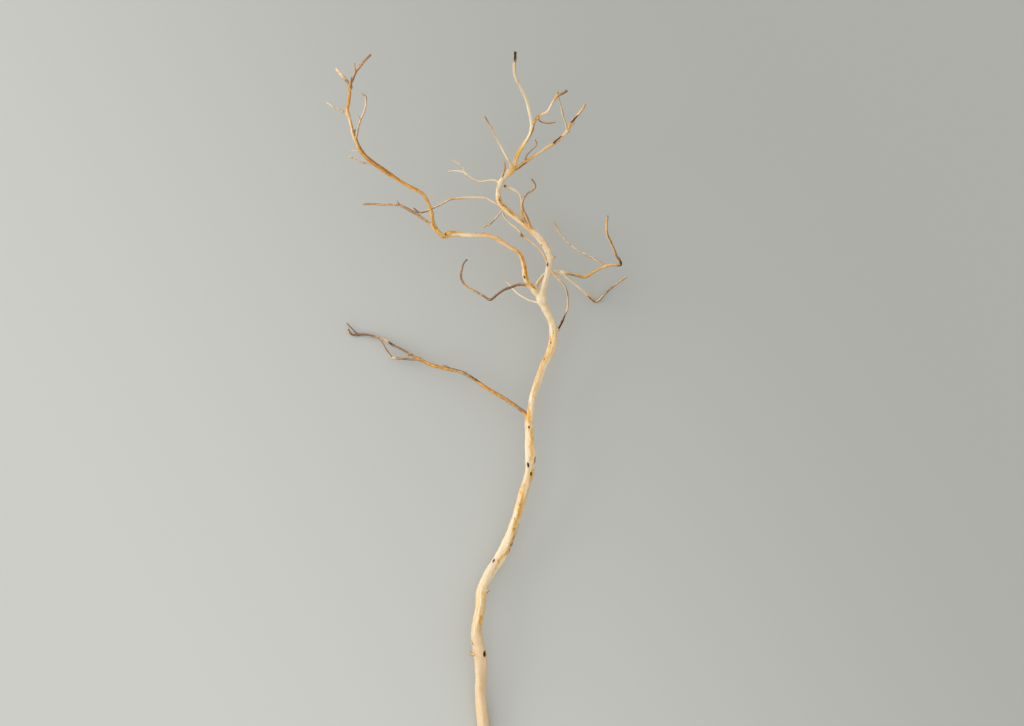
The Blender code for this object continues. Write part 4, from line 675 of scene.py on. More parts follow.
class Limb:
    """A limb's centre line with a frame that follows it, the relief of its surface and its tones."""

    def __init__(self, name, number, stations, parent=None):
        self.name, self.number, self.parent = name, number, parent
        self.distances, self.points, self.radii = smooth_curve(stations)
        self.length = self.distances[-1]
        self.ways = unit(np.gradient(self.points, axis=0))
        self.sides = unit(np.cross(self.ways, UP))
        self.ups = np.cross(self.sides, self.ways)
        self.root, self.root_radius, self.fillet_end = 0.0, self.radii[0], 0.0
        self.grain_start = np.zeros(3)
        if parent:
            self.leave(parent, stations[0])
        self.finder = KDTree(len(self.points))
        for i, point in enumerate(self.points):
            self.finder.insert(point, i)
        self.finder.balance()
        self.chance = np.random.default_rng(FIRST_SEED + number)
        self.phases = self.chance.uniform(0, 2 * math.pi, (len(LOBES), 2))
        self.swell_phases = self.chance.uniform(0, 2 * math.pi, len(SWELLS))
        self.bumps = self.scatter_buds()
        self.scars, self.stains, self.tones = [], [], []

    def leave(self, parent, station):
        """Swells the root into a collar where the limb leaves its parent, whose grain runs on in it."""
        i = parent.nearest_in_plan(*station[:2])
        self.root = parent.distances[i]
        collar = bell(self.distances / (COLLAR_REACH * parent.radii[i]))
        self.radii = self.radii * (1 + COLLAR_SWELL * collar)
        cuts = CUTS.get(self.name, ())
        self.fillet_end = cuts[0][0] if cuts else FILLET_REACH * (parent.radii[i] + self.root_radius)
        self.grain_start = parent.grain_start + (0, 0, self.root)

    def scatter_buds(self):
        """Healed-over buds: distance, angle, half length, half width and height of each."""
        rows = []
        for _ in range(int(self.length / BUD_SPACING)):
            distance = self.chance.uniform(BUD_START, self.length)
            radius = self.radius_at(distance)
            angle = self.chance.uniform(-math.pi, math.pi)
            size = self.chance.uniform(*BUD_SIZES) * radius + LEAST_BUD
            knobby = 1 + KNOBBINESS * math.exp(-radius / KNOBBY_RADIUS)
            height = self.chance.uniform(*BUD_HEIGHTS) * radius * knobby
            rows.append((distance, angle, BUD_LENGTH * size, size, height))
        return rows

    def nearest_in_plan(self, across, along):
        return int(np.argmin(np.hypot(self.points[:, 0] - across, self.points[:, 1] - along)))

    def radius_at(self, distance):
        return np.interp(distance, self.distances, self.radii)

    def point_at(self, distance):
        return np.array([np.interp(distance, self.distances, self.points[:, k]) for k in range(3)])

    def row_at(self, distance):
        return np.clip(np.searchsorted(self.distances, distance), 0, len(self.ways) - 1)

    def place(self, across, along):
        """Distance along the limb and angle about it of a place on its upper side, seen from above."""
        i = self.nearest_in_plan(across, along)
        offset = np.array([across, along]) - self.points[i, :2]
        share = np.clip(offset @ self.sides[i, :2] / self.radii[i], -EDGE_SHARE, EDGE_SHARE)
        return self.distances[i], math.asin(share)

    def beside(self, places):
        """For places near the limb: distance along, angle about, distance from its line, and the way out."""
        i = np.fromiter((self.finder.find(place)[1] for place in places.tolist()), int, len(places))
        along = ((places - self.points[i]) * self.ways[i]).sum(axis=1)
        low = np.where((i == 0) & (self.parent is None), -np.inf, -CURVE_STEP)
        high = np.where(i == len(self.points) - 1, np.inf, CURVE_STEP)
        along = np.clip(along, low, high)
        away = places - self.points[i] - self.ways[i] * along[:, None]
        out = np.linalg.norm(away, axis=1)
        angle = np.arctan2((away * self.sides[i]).sum(axis=1), (away * self.ups[i]).sum(axis=1))
        return self.distances[i] + along, angle, out, away / np.maximum(out, 1e-6)[:, None], self.ways[i]

    def surface_radius(self, distance, angle):
        """Radius of the grown surface: lobes that wander round the limb, slow swells, bumps and scars."""
        base = self.radius_at(distance)
        shape = np.zeros_like(base)
        for (count, height), (phase, drift) in zip(LOBES, self.phases):
            turn = phase + distance * LOBE_TURN + LOBE_WANDER * np.sin(distance / WANDER_LENGTH + drift)
            shape += height * np.cos(count * angle + turn)
        for (length, height), phase in zip(SWELLS, self.swell_phases):
            shape += height * np.sin(2 * math.pi * distance / length + phase)
        radius = base * (1 + shape * (1 + KNOBBINESS * np.exp(-base / KNOBBY_RADIUS)))
        for where, turn, half_length, half_width, height in self.bumps:
            near = np.abs(distance - where) < BUMP_SPAN * half_length
            around = self.arc(angle[near], turn, base[near]) / half_width
            along = (distance[near] - where) / half_length
            radius[near] += height * np.exp(-(around**2) - along**2)
        for scar in self.scars:
            reach = self.scar_reach(scar, distance, angle, base)
            rim = bell((reach - RIM_PLACE) / RIM_WIDTH)
            pit = ease((PIT_EDGE - reach) / PIT_SLOPE)
            radius += RIM_HEIGHT * min(scar.half_width, RIM_LIMIT) * rim - scar.depth * pit
        return radius

    @staticmethod
    def arc(angle, turn, radius):
        return radius * ((angle - turn + math.pi) % (2 * math.pi) - math.pi)

    def scar_reach(self, scar, distance, angle, base):
        """How far a place is from a scar's middle, in the scar's half sizes."""
        across, along = self.arc(angle, scar.angle, base), distance - scar.distance
        cos, sin = math.cos(scar.lean), math.sin(scar.lean)
        across, along = across * cos - along * sin, across * sin + along * cos
        return np.hypot(across / scar.half_width, along / scar.half_length)

    def gap(self, places):
        """How far places lie outside the limb's surface, the way out, and their place along and about it."""
        distance, angle, out, way_out, way = self.beside(places)
        gap = out - self.surface_radius(distance, angle)
        radius = self.radii[-1]
        waves = zip(RAGGED_WAVES, self.phases[:, 0])
        ragged = sum(height * np.cos(count * angle + phase) for (count, height), phase in waves)
        past = distance - self.length + RAGGED_END * radius * ragged * np.clip(out / radius, 0, 1)
        gap, share = smooth_most(gap, past, END_ROUNDING * radius)
        way_out = unit(way_out * (1 - share)[:, None] + way * share[:, None])
        return gap, way_out, distance, angle, out

    def tone(self, distance, angle):
        """Honey, bark and scar shares of places on the limb, with painted light and shade across it."""
        stops, honeys, barks = (np.array(row, float) for row in zip(*self.tones))
        honey, bark = np.interp(distance, stops, honeys), np.interp(distance, stops, barks)
        side, upper = np.sin(angle), ease(np.cos(angle) * SIDE_FADE + SIDE_START)
        i, base = self.row_at(distance), self.radius_at(distance)
        # Painted light and shade: more honey and bark on the side away from the sun, less on the side
        # towards it
        painted_shade = self.sides[i] @ PAINTED_SHADE_SIDE * side + self.ups[i] @ PAINTED_SHADE_SIDE * np.cos(angle)
        thin = np.exp(-base / THIN_RADIUS)
        honey = honey + PAINTED_SHADE_HONEY * thin * painted_shade
        bark_with_painted_shade = bark + PAINTED_SHADE_BARK * thin * np.maximum(painted_shade + PAINTED_SHADE_REACH, 0)
        bark = np.maximum(bark, np.minimum(bark_with_painted_shade, PAINTED_SHADE_LIMIT))
        for (start, turn_a), (end, turn_b), half_width, more_honey, more_bark in self.stains:
            started = ease((distance - start + STAIN_FADE) / STAIN_FADE)
            not_ended = ease((end - distance + STAIN_FADE) / STAIN_FADE)
            middle = np.interp(distance, (start, end), (math.sin(turn_a), math.sin(turn_b)))
            middle += sum(share * np.sin(distance / length + start) for length, share in STAIN_DRIFT)
            cover = started * not_ended * upper * bell((side - middle) / half_width)
            honey, bark = honey + more_honey * cover, bark + more_bark * cover
        # A scar's floor is painted black: dark wood, and painted shade in its pit
        pit_black_and_shade = np.zeros_like(honey)
        for scar in self.scars:
            reach = self.scar_reach(scar, distance, angle, base)
            pit_black_and_shade = np.maximum(pit_black_and_shade, ease((SCAR_EDGE - reach) / SCAR_FADE))
            honey = honey + HALO_HONEY * bell(reach / HALO_REACH)
        return np.column_stack([honey, bark, pit_black_and_shade])


def smooth_most(a, b, width):
    """The larger of two fields, rounded where they meet, and the second one's share of it."""
    share = np.clip(0.5 + 0.5 * (b - a) / width, 0, 1)
    return a + (b - a) * share + width * share * (1 - share), share


def smooth_least(a, b, width):
    """The smaller of two fields, filleted where they meet, and the second one's share of it."""
    share = np.clip(0.5 + 0.5 * (a - b) / width, 0, 1)
    return a + (b - a) * share - width * share * (1 - share), share


def grow_limbs():
    limbs = {"stem": Limb("stem", 0, STEM)}
    for name, (parent, stations) in LIMBS.items():
        parent = limbs[parent]
        start = parent.points[parent.nearest_in_plan(*stations[0][:2])]
        limbs[name] = Limb(name, len(limbs), [(*start, stations[0][3]), *stations[1:]], parent)
    for name, limb in limbs.items():
        limb.tones = sorted((limb.place(x, y)[0], honey, bark) for x, y, honey, bark in TONES[name])
        for x0, y0, x1, y1, *looks in STAINS.get(name, ()):
            limb.stains.append((*sorted((limb.place(x0, y0), limb.place(x1, y1))), *looks))
        for x, y, half_width, half_length, height in LUMPS.get(name, ()):
            limb.bumps.append((*limb.place(x, y), half_length, half_width, height))
        for x, y, half_width, half_length, depth, lean in KNOTS.get(name, ()):
            where, turn = limb.place(x, y)
            way = limb.ways[limb.row_at(where)]
            lean = math.radians(lean) - math.atan2(way[0], way[1])
            limb.scars.append(Scar(where, turn, half_width, half_length, depth, lean))
    return limbs


def part_at(limb, distance):
    """The part that holds a limb at a distance along it."""
    started = [part for start, part in CUTS.get(limb.name, ()) if start <= distance]
    return started[-1] if started else part_at(limb.parent, limb.root)


def stretches(limbs):
    """For each part, its stretches of limbs: the limb, where the stretch starts and where it ends."""
    found = {part: [] for part in PARTS}
    for limb in limbs.values():
        cuts = [start for start, _ in CUTS.get(limb.name, ()) if start > 0]
        for start, end in zip([0, *cuts], [*cuts, limb.length]):
            found[part_at(limb, start)].append((limb, start, end))
    return found


class Socket:
    """An output socket that takes part in Python arithmetic, by Math nodes in its own tree."""

    def __init__(self, tree, socket):
        self.tree, self.socket = tree, socket

    def math(self, operation, *others):
        return self.tree.math(operation, self, *others)

    def __add__(self, other):
        return self.math("ADD", other)

    def __sub__(self, other):
        return self.math("SUBTRACT", other)

    def __mul__(self, other):
        return self.math("MULTIPLY", other)

    def __rsub__(self, other):
        return self.tree.math("SUBTRACT", other, self)

    def __rtruediv__(self, other):
        return self.tree.math("DIVIDE", other, self)

    __radd__, __rmul__ = __add__, __mul__

    def clear(self, low, high):
        """0 below low, 1 above high and a soft step between them."""
        settings = {"interpolation_type": "SMOOTHSTEP"}
        return self.tree.add("ShaderNodeMapRange", settings, {0: self, 1: low, 2: high})


class Tree:
    """Nodes added one by one: settings first, then the values or links of the sockets."""

    def __init__(self, tree):
        self.tree = tree

    def add(self, kind, settings=None, values=None, output=0):
        node = self.tree.nodes.new(kind)
        for key, value in (settings or {}).items():
            setattr(node, key, value)
        for key, value in (values or {}).items():
            if isinstance(value, Socket):
                self.tree.links.new(value.socket, node.inputs[key])
            else:
                node.inputs[key].default_value = value
        return Socket(self, node.outputs[output] if node.outputs else None)

    def math(self, operation, *terms):
        return self.add("ShaderNodeMath", {"operation": operation}, dict(enumerate(terms)))

    def vector_math(self, operation, *terms, output=0):
        return self.add("ShaderNodeVectorMath", {"operation": operation}, dict(enumerate(terms)), output)

    def scale(self, vector, factor):
        return self.add("ShaderNodeVectorMath", {"operation": "SCALE"}, {"Vector": vector, "Scale": factor})

    def noise(self, place, scale, detail=2.0, roughness=0.5, distortion=0.0):
        values = {"Vector": place, "Scale": scale, "Detail": detail, "Roughness": roughness}
        return self.add("ShaderNodeTexNoise", None, {**values, "Distortion": distortion})

    def pattern(self, grain, name):
        """One of the patterns that follow the grain."""
        across, along, detail, roughness, distortion = PATTERNS[name]
        place = self.vector_math("MULTIPLY", grain, (across, across, along))
        return self.noise(place, 1.0, detail, roughness, distortion)

    def mix(self, share, first, second):
        """Colours mixed: the first where the share is 0 and the second where it is 1."""
        colours = [c if isinstance(c, Socket) else (*c, 1) for c in (first, second)]
        settings = {"data_type": "RGBA", "clamp_factor": True}
        return self.add("ShaderNodeMix", settings, {0: share, 6: colours[0], 7: colours[1]}, 2)

    def feed(self, shader, **sockets):
        """Links what varies over the surface to the shader's sockets, named with _ for a space."""
        for name, socket in sockets.items():
            self.tree.links.new(socket.socket, shader.inputs[name.replace("_", " ")])


def bark_cover(tree, grain, bark):
    """Where bark still clings: ragged scales, longer than wide, that fill up as the bark share grows."""
    scales, crumbs = tree.pattern(grain, "scales"), tree.pattern(grain, "crumbs")
    return (bark * 1.25 + scales * 1.2 + crumbs * 0.8 - 1.0).clear(0.5, 0.72)


def geometry_tree(name, kinds):
    """A Geometry Nodes group with one geometry in and out, and its named inputs with their socket types."""
    group = bpy.data.node_groups.new(name, "GeometryNodeTree")
    group.interface.new_socket("Geometry", in_out="INPUT", socket_type="NodeSocketGeometry")
    group.interface.new_socket("Geometry", in_out="OUTPUT", socket_type="NodeSocketGeometry")
    for label, kind in {**kinds, "Wood": "Material"}.items():
        group.interface.new_socket(label, in_out="INPUT", socket_type="NodeSocket" + kind)
    tree = Tree(group)
    ports = group.nodes.new("NodeGroupInput")
    return group, tree, {socket.name: Socket(tree, socket) for socket in ports.outputs if socket.name}


def finish_geometry(tree, geometry, material):
    """Every tree ends the same way: instances realized, the material set, and out."""
    whole = tree.add("GeometryNodeRealizeInstances", None, {"Geometry": geometry})
    dressed = tree.add("GeometryNodeSetMaterial", None, {"Geometry": whole, "Material": material})
    tree.add("NodeGroupOutput", None, {"Geometry": dressed})


def named(tree, name, kind="FLOAT"):
    """An attribute that the paint step wrote."""
    return tree.add("GeometryNodeInputNamedAttribute", {"data_type": kind}, {"Name": name})


def limb_tubes_tree():
    """Closed tubes along curves, as thick as each point's radius."""
    group, tree, ports = geometry_tree("limb_tubes", {"Sides": "Int", "Ring spacing": "Float"})
    rings = tree.add("GeometryNodeResampleCurve", {"mode": "LENGTH"},
                     {"Curve": ports["Geometry"], "Length": ports["Ring spacing"]})
    circle = tree.add("GeometryNodeCurvePrimitiveCircle", None,
                      {"Resolution": ports["Sides"], "Radius": 1.0})
    radius = tree.add("GeometryNodeInputRadius")
    tubes = tree.add("GeometryNodeCurveToMesh", None,
                     {"Curve": rings, "Profile Curve": circle, "Scale": radius, "Fill Caps": True})
    finish_geometry(tree, tubes, ports["Wood"])
    return group


def weathering_tree():
    """Raises fibres along the grain and the bark that still clings, on the surface of a part."""
    group, tree, ports = geometry_tree("weathering", dict.fromkeys(WEATHERING, "Float"))
    grain, bark, girth = named(tree, "grain", "FLOAT_VECTOR"), named(tree, "bark"), named(tree, "girth")
    across, along = 1 / ports["Fibre width"], 1 / ports["Fibre length"]
    sizes = tree.add("ShaderNodeCombineXYZ", None, {"X": across, "Y": across, "Z": along})
    fibres = tree.noise(tree.vector_math("MULTIPLY", grain, sizes), 1.0, 3.0, 0.6)
    height = (fibres - 0.5) * ports["Fibre height"] + bark_cover(tree, grain, bark) * ports["Bark thickness"]
    height = height * (girth * RELIEF_PER_RADIUS).math("MINIMUM", 1.0)
    offset = tree.scale(tree.add("GeometryNodeInputNormal"), height)
    raised = tree.add("GeometryNodeSetPosition", None, {"Geometry": ports["Geometry"], "Offset": offset})
    finish_geometry(tree, raised, ports["Wood"])
    return group


def splinters_tree():
    """Thin splinters that stand out of torn ends, along the way the limb grew."""
    group, tree, ports = geometry_tree("splinters", {**dict.fromkeys(SPLINTERS, "Float"), "Seed": "Int"})
    torn, way, girth = named(tree, "torn"), named(tree, "way", "FLOAT_VECTOR"), named(tree, "girth")
    seed = ports["Seed"]
    spots = tree.add("GeometryNodeDistributePointsOnFaces", {"distribute_method": "RANDOM"},
                     {"Mesh": ports["Geometry"], "Density": torn * ports["Density"], "Seed": seed})
    scatter = tree.add("FunctionNodeRandomValue", {"data_type": "FLOAT_VECTOR"},
                       {0: (-1.0, -1.0, -1.0), 1: (1.0, 1.0, 1.0), "Seed": seed})
    lean = tree.vector_math("ADD", way, tree.scale(scatter, ports["Spread"]))
    turn = tree.add("FunctionNodeAlignRotationToVector", {"axis": "Z"}, {"Vector": lean})
    cone_sizes = {"Vertices": 5, "Side Segments": 3, "Radius Top": 0.12, "Radius Bottom": 1.0, "Depth": 1.0}
    cone = tree.add("GeometryNodeMeshCone", {"fill_type": "NGON"}, cone_sizes)
    lengths = {2: SHORTEST_SPLINTER, 3: 1.0, "Seed": seed}
    longer = tree.add("FunctionNodeRandomValue", {"data_type": "FLOAT"}, lengths, 1)
    thick = ports["Thickness"] * girth
    length = longer * girth * ports["Length"]
    size = tree.add("ShaderNodeCombineXYZ", None, {"X": thick, "Y": thick, "Z": length})
    stuck = tree.add("GeometryNodeInstanceOnPoints", None,
                     {"Points": spots, "Instance": cone, "Rotation": turn, "Scale": size})
    joined = tree.add("GeometryNodeJoinGeometry")
    for part in (stuck, ports["Geometry"]):
        tree.tree.links.new(part.socket, joined.socket.node.inputs[0])
    finish_geometry(tree, joined, ports["Wood"])
    return group


def new_object(name, data):
    obj = bpy.data.objects.new(name, data)
    bpy.context.scene.collection.objects.link(obj)
    return obj


def remove_object(obj):
    data = obj.data
    store = bpy.data.meshes if isinstance(data, bpy.types.Mesh) else bpy.data.curves
    bpy.data.objects.remove(obj, do_unlink=True)
    store.remove(data)


def evaluated_mesh(obj):
    """The object's mesh with its modifiers applied. The object goes."""
    bpy.context.view_layer.update()
    graph = bpy.context.evaluated_depsgraph_get()
    result = obj.evaluated_get(graph)
    mesh = bpy.data.meshes.new_from_object(result, preserve_all_data_layers=True, depsgraph=graph)
    obj.modifiers.clear()
    remove_object(obj)
    return mesh


def run_tree(data, group, values):
    """The mesh that a Geometry Nodes tree makes of a mesh or curves, with these values on its inputs."""
    obj = new_object(group.name, data)
    modifier = obj.modifiers.new(group.name, "NODES")
    modifier.node_group = group
    names = {item.name: item.identifier for item in group.interface.items_tree if item.in_out == "INPUT"}
    for name, value in values.items():
        modifier[names[name]] = value
    return evaluated_mesh(obj)


def rough_tubes(pieces, grid, group, wood):
    """The part's limbs as tubes in one mesh, joined by a remesh. A stretch runs on past its cuts."""
    lines = bpy.data.curves.new("limb_lines", "CURVE")
    lines.dimensions = "3D"
    for limb, start, end in pieces:
        first = -PAST_CUT if limb.parent is None and start == 0 else max(start - PAST_CUT * (start > 0), 0)
        last = end + PAST_CUT if end < limb.length else end
        rings = np.arange(first, last, 2 * CURVE_STEP)
        spline = lines.splines.new("POLY")
        spline.points.add(len(rings) - 1)
        for spot, distance in zip(spline.points, rings):
            point = limb.point_at(distance) if distance >= 0 else limb.points[0] + limb.ways[0] * distance
            spot.co = (*point, 1)
            spot.radius = max(limb.radius_at(distance), THIN_START * grid)
    sizes = {"Sides": TUBE_SIDES, "Ring spacing": RING_SPACING, "Wood": wood}
    tubes = new_object("limb_tubes", run_tree(lines, group, sizes))
    remesh = tubes.modifiers.new("join", "REMESH")
    remesh.mode = "VOXEL"
    remesh.voxel_size = grid
    return evaluated_mesh(tubes)


def neighbour_means(places, edges, counts):
    """The mean of each vertex's neighbours."""
    sums = np.zeros_like(places)
    for k in range(3):
        sums[:, k] += np.bincount(edges[:, 0], places[edges[:, 1], k], len(places))
        sums[:, k] += np.bincount(edges[:, 1], places[edges[:, 0], k], len(places))
    return sums / counts[:, None]


def near_limbs(pieces, limbs):
    """The limbs whose surfaces a part can meet: its own, what they grow from and what grows from them."""
    own = {limb.name for limb, _, _ in pieces}
    kin = {limb.parent.name for limb, _, _ in pieces if limb.parent}
    return [limb for limb in limbs.values()
            if limb.name in own | kin or (limb.parent and limb.parent.name in own)]


def vertex_places(mesh):
    places = np.empty(len(mesh.vertices) * 3, np.float32)
    mesh.vertices.foreach_get("co", places)
    return places.reshape(-1, 3).astype(float)


def move_vertices(mesh, places):
    mesh.vertices.foreach_set("co", places.astype(np.float32).ravel())
    mesh.update()


def rows_near(places, limb):
    """The rows of the places that lie in reach of a limb."""
    reach = REACH + limb.radii.max()
    low, high = limb.points.min(axis=0) - reach, limb.points.max(axis=0) + reach
    return np.flatnonzero(((places > low) & (places < high)).all(axis=1))


def measure(places, family):
    """From places to the joined surface of a family of limbs: the gap, the way out, and each limb's gap."""
    count = len(places)
    gaps = np.full((len(family), count), np.inf)
    ways = np.zeros((len(family), count, 3))
    along = np.zeros((len(family), count))
    for k, limb in enumerate(family):
        near = rows_near(places, limb)
        if len(near):
            gaps[k, near], ways[k, near], along[k, near] = limb.gap(places[near])[:3]
    least, way = np.full(count, np.inf), np.zeros((count, 3))
    for k, limb in enumerate(family):
        gap, out = gaps[k].copy(), ways[k].copy()
        if limb.parent in family:
            parent = family.index(limb.parent)
            both = (gap < np.inf) & (gaps[parent] < np.inf)
            fading = 1 - ease(along[k, both] / limb.fillet_end)
            width = FILLET * limb.root_radius * fading + LEAST_FILLET
            gap[both], share = smooth_least(gaps[parent, both], gap[both], width)
            out[both] = ways[parent, both] * (1 - share)[:, None] + out[both] * share[:, None]
        closer = gap < least
        least[closer], way[closer] = gap[closer], out[closer]
    return least, unit(way), gaps


def refine(mesh, family):
    """Halves the grid on thin limbs, and twice round scars, so that neither is coarse."""
    for turn in range(2):
        places = vertex_places(mesh)
        fine = np.zeros(len(places), bool)
        for limb in family:
            near = rows_near(places, limb)
            if not len(near):
                continue
            gap, _, distance, angle, _ = limb.gap(places[near])
            base = limb.radius_at(distance)
            marked = (base < FINE_BELOW) & (turn == 0)
            for scar in limb.scars:
                marked |= limb.scar_reach(scar, distance, angle, base) < FINE_ROUND_SCARS
            fine[near] |= marked & (np.abs(gap) < NEAR_SURFACE)
        shell = bmesh.new()
        shell.from_mesh(mesh)
        edges = [edge for edge in shell.edges if fine[edge.verts[0].index] and fine[edge.verts[1].index]]
        bmesh.ops.subdivide_edges(shell, edges=edges, cuts=1, use_grid_fill=True)
        shell.to_mesh(mesh)
        shell.free()


def lay_on_surface(mesh, family):
    """Moves a rough mesh's vertices onto the grown surface, evening them out as they go."""
    places = vertex_places(mesh)
    edges = np.empty(len(mesh.edges) * 2, np.int32)
    mesh.edges.foreach_get("vertices", edges)
    edges = edges.reshape(-1, 2)
    counts = np.maximum(np.bincount(edges.ravel(), minlength=len(places)), 1)
    for turn in range(LAYING_ROUNDS):
        for _ in range(SMOOTHING_STEPS if turn < LAYING_ROUNDS - 1 else 1):
            places += SMOOTHING_SHARE * (neighbour_means(places, edges, counts) - places)
        gap, way, _ = measure(places, family)
        places -= np.clip(gap, -LONGEST_MOVE, LONGEST_MOVE)[:, None] * way
    gap, way, gaps = measure(places, family)
    places -= np.clip(gap, -LAST_MOVE, LAST_MOVE)[:, None] * way
    move_vertices(mesh, places)
    return places, gaps


def paint(mesh, places, family, gaps):
    """Gives the vertices their place in the grain, their limb and girth, the way it grows, and their tones.

    Where a limb leaves another, both give a share, so that the grain flows over and the tones blend.
    """
    owner, nearest = gaps.argmin(axis=0), gaps.min(axis=0)
    kin = np.array([[a is b or a.parent is b or b.parent is a for a in family] for b in family])
    columns, total = np.zeros((len(places), 11)), np.zeros(len(places))
    for k, limb in enumerate(family):
        close = np.flatnonzero((gaps[k] < nearest + BLEND_REACH) & kin[k][owner])
        if not len(close):
            continue
        _, _, distance, angle, out = limb.gap(places[close])
        weight = np.exp(-(gaps[k][close] - nearest[close]) / TONE_BLEND)[:, None]
        grain = np.column_stack([out * np.sin(angle), out * np.cos(angle), distance]) + limb.grain_start
        way, girth = limb.ways[limb.row_at(distance)], limb.radius_at(distance)
        tip = ease((distance - limb.length + 2 * limb.radii[-1]) / limb.radii[-1])
        torn = TORN.get(limb.name, 0) * tip
        columns[close] += np.column_stack([grain, way, limb.tone(distance, angle), girth, torn]) * weight
        total[close] += weight[:, 0]
    columns /= total[:, None]
    vectors = {"grain": columns[:, :3], "way": unit(columns[:, 3:6])}
    numbers = dict(zip(("honey", "bark", "scar", "girth", "torn"), columns[:, 6:].T))
    for name, values in vectors.items():
        data = mesh.attributes.new(name, "FLOAT_VECTOR", "POINT").data
        data.foreach_set("vector", values.astype(np.float32).ravel())
    for name, values in numbers.items():
        mesh.attributes.new(name, "FLOAT", "POINT").data.foreach_set("value", values.astype(np.float32))
    owners = np.array([limb.number for limb in family], np.int32)[owner]
    mesh.attributes.new("limb", "INT", "POINT").data.foreach_set("value", owners)


def cut_off(mesh, limb, distance, keep_after, sawn=False):
    """Cuts a limb square across at a distance, drops what lies past the cut and closes it."""
    before, middle, after = (limb.point_at(distance + step) for step in (-CUT_STEP, 0, CUT_STEP))
    middle, way = Vector(middle), Vector(unit(after - before))
    if keep_after:
        way.negate()
    reach = CUT_REACH * limb.radius_at(distance) + 2 * PAST_CUT
    shell = bmesh.new()
    shell.from_mesh(mesh)
    number = shell.verts.layers.int["limb"]

    def own(face):
        return all((keep_after or vert[number] == limb.number) and (vert.co - middle).length < reach
                   for vert in face.verts)

    parts = {item for face in shell.faces if own(face) for item in (face, *face.edges, *face.verts)}
    cut = bmesh.ops.bisect_plane(shell, geom=list(parts), plane_co=middle, plane_no=way, dist=1e-4)
    for item in cut["geom_cut"]:
        if isinstance(item, bmesh.types.BMVert):
            item[number] = limb.number
    past = [face for face in shell.faces
            if own(face) and (face.calc_center_median() - middle).dot(way) > 1e-3]
    bmesh.ops.delete(shell, geom=past, context="FACES")
    rim = [edge for edge in shell.edges if edge.is_boundary]
    for edge in rim:
        edge.smooth = False
    cap = bmesh.ops.contextual_create(shell, geom=rim)["faces"]
    for face in cap:
        face.smooth = False
    if sawn:
        saw_cut(shell, cap[0], middle)
    shell.to_mesh(mesh)
    shell.free()


def saw_cut(shell, cap, middle):
    """Puts rings of small faces, slightly uneven as a saw leaves them, in place of a cut's flat face."""
    normal = cap.normal.copy()
    outer = list(cap.verts)
    bmesh.ops.delete(shell, geom=[cap], context="FACES_ONLY")
    for share in SAW_RINGS:
        inner = []
        for vert in outer:
            spot = middle + (vert.co - middle) * share
            rough = SAW_DEPTH * noise.noise(spot * SAW_MARKS) - SAW_DEPTH * SAW_SUNK
            inner.append(shell.verts.new(spot + normal * (rough - (spot - middle).dot(normal))))
        for k in range(len(outer)):
            after = (k + 1) % len(outer)
            shell.faces.new((outer[k], outer[after], inner[after], inner[k])).smooth = True
        outer = inner
    shell.faces.new(outer).smooth = True


def dress(mesh, wood, end_grain=None):
    """Gives a mesh its wood and, where it is sawn, the end grain on the sawn faces."""
    mesh.materials.clear()
    mesh.materials.append(wood)
    if end_grain:
        mesh.materials.append(end_grain)
    for face in mesh.polygons:
        sawn = end_grain and face.center.y < SAW_DEPTH and face.normal.y < SAW_FACING
        face.material_index = int(bool(sawn))


def make_part(part, pieces, limbs, groups, woods, origin):
    """One part of the branch, from rough tubes to weathered wood in its place in the frame."""
    slot, grid = PARTS[part]
    wood = woods[slot]
    mesh = rough_tubes(pieces, grid, groups["tubes"], wood)
    family = near_limbs(pieces, limbs)
    refine(mesh, family)
    places, gaps = lay_on_surface(mesh, family)
    paint(mesh, places, family, gaps)
    mesh = run_tree(mesh, groups["weathering"], {**WEATHERING, "Wood": wood})
    for limb, start, end in pieces:
        if start > 0 or limb.parent is None:
            cut_off(mesh, limb, start, True, start == 0)
        if end < limb.length:
            cut_off(mesh, limb, end, False)
    if any(limb.name in TORN for limb, _, _ in pieces):
        mesh = run_tree(mesh, groups["splinters"], {**SPLINTERS, "Seed": len(part), "Wood": wood})
    dress(mesh, wood, woods["saw_cut"] if part == SAWN_PART else None)
    places = vertex_places(mesh)
    places[:, 2] = np.maximum(places[:, 2], GROUND_GAP)
    move_vertices(mesh, places * MM + origin)
    for name in ("limb", "way", "torn"):
        mesh.attributes.remove(mesh.attributes[name])
    return new_object(part + "_wood", mesh)


def drawing_origin(first):
    """Where the drawing's zero lies in the frame: the butt face is centred on the stem's first station."""
    butt = frame["nodes"][SAWN_PART]
    corners = np.array([butt.matrix_world @ vertex.co for vertex in butt.data.vertices])
    face = corners[corners[:, 1] < corners[:, 1].min() + 1e-4]
    middle = (face.min(axis=0) + face.max(axis=0)) / 2
    middle[1] = face[:, 1].min()
    return middle - np.array(first[:3]) * MM


def new_material(name, roughness):
    material = bpy.data.materials.new(name)
    material.use_nodes = True
    shader = material.node_tree.nodes["Principled BSDF"]
    shader.inputs["Roughness"].default_value = roughness
    shader.inputs["IOR"].default_value = SURFACE_IOR
    return material, Tree(material.node_tree), shader


def bump(tree, height, distance):
    values = {"Strength": BUMP_STRENGTH, "Distance": distance, "Height": height}
    return tree.add("ShaderNodeBump", None, values)


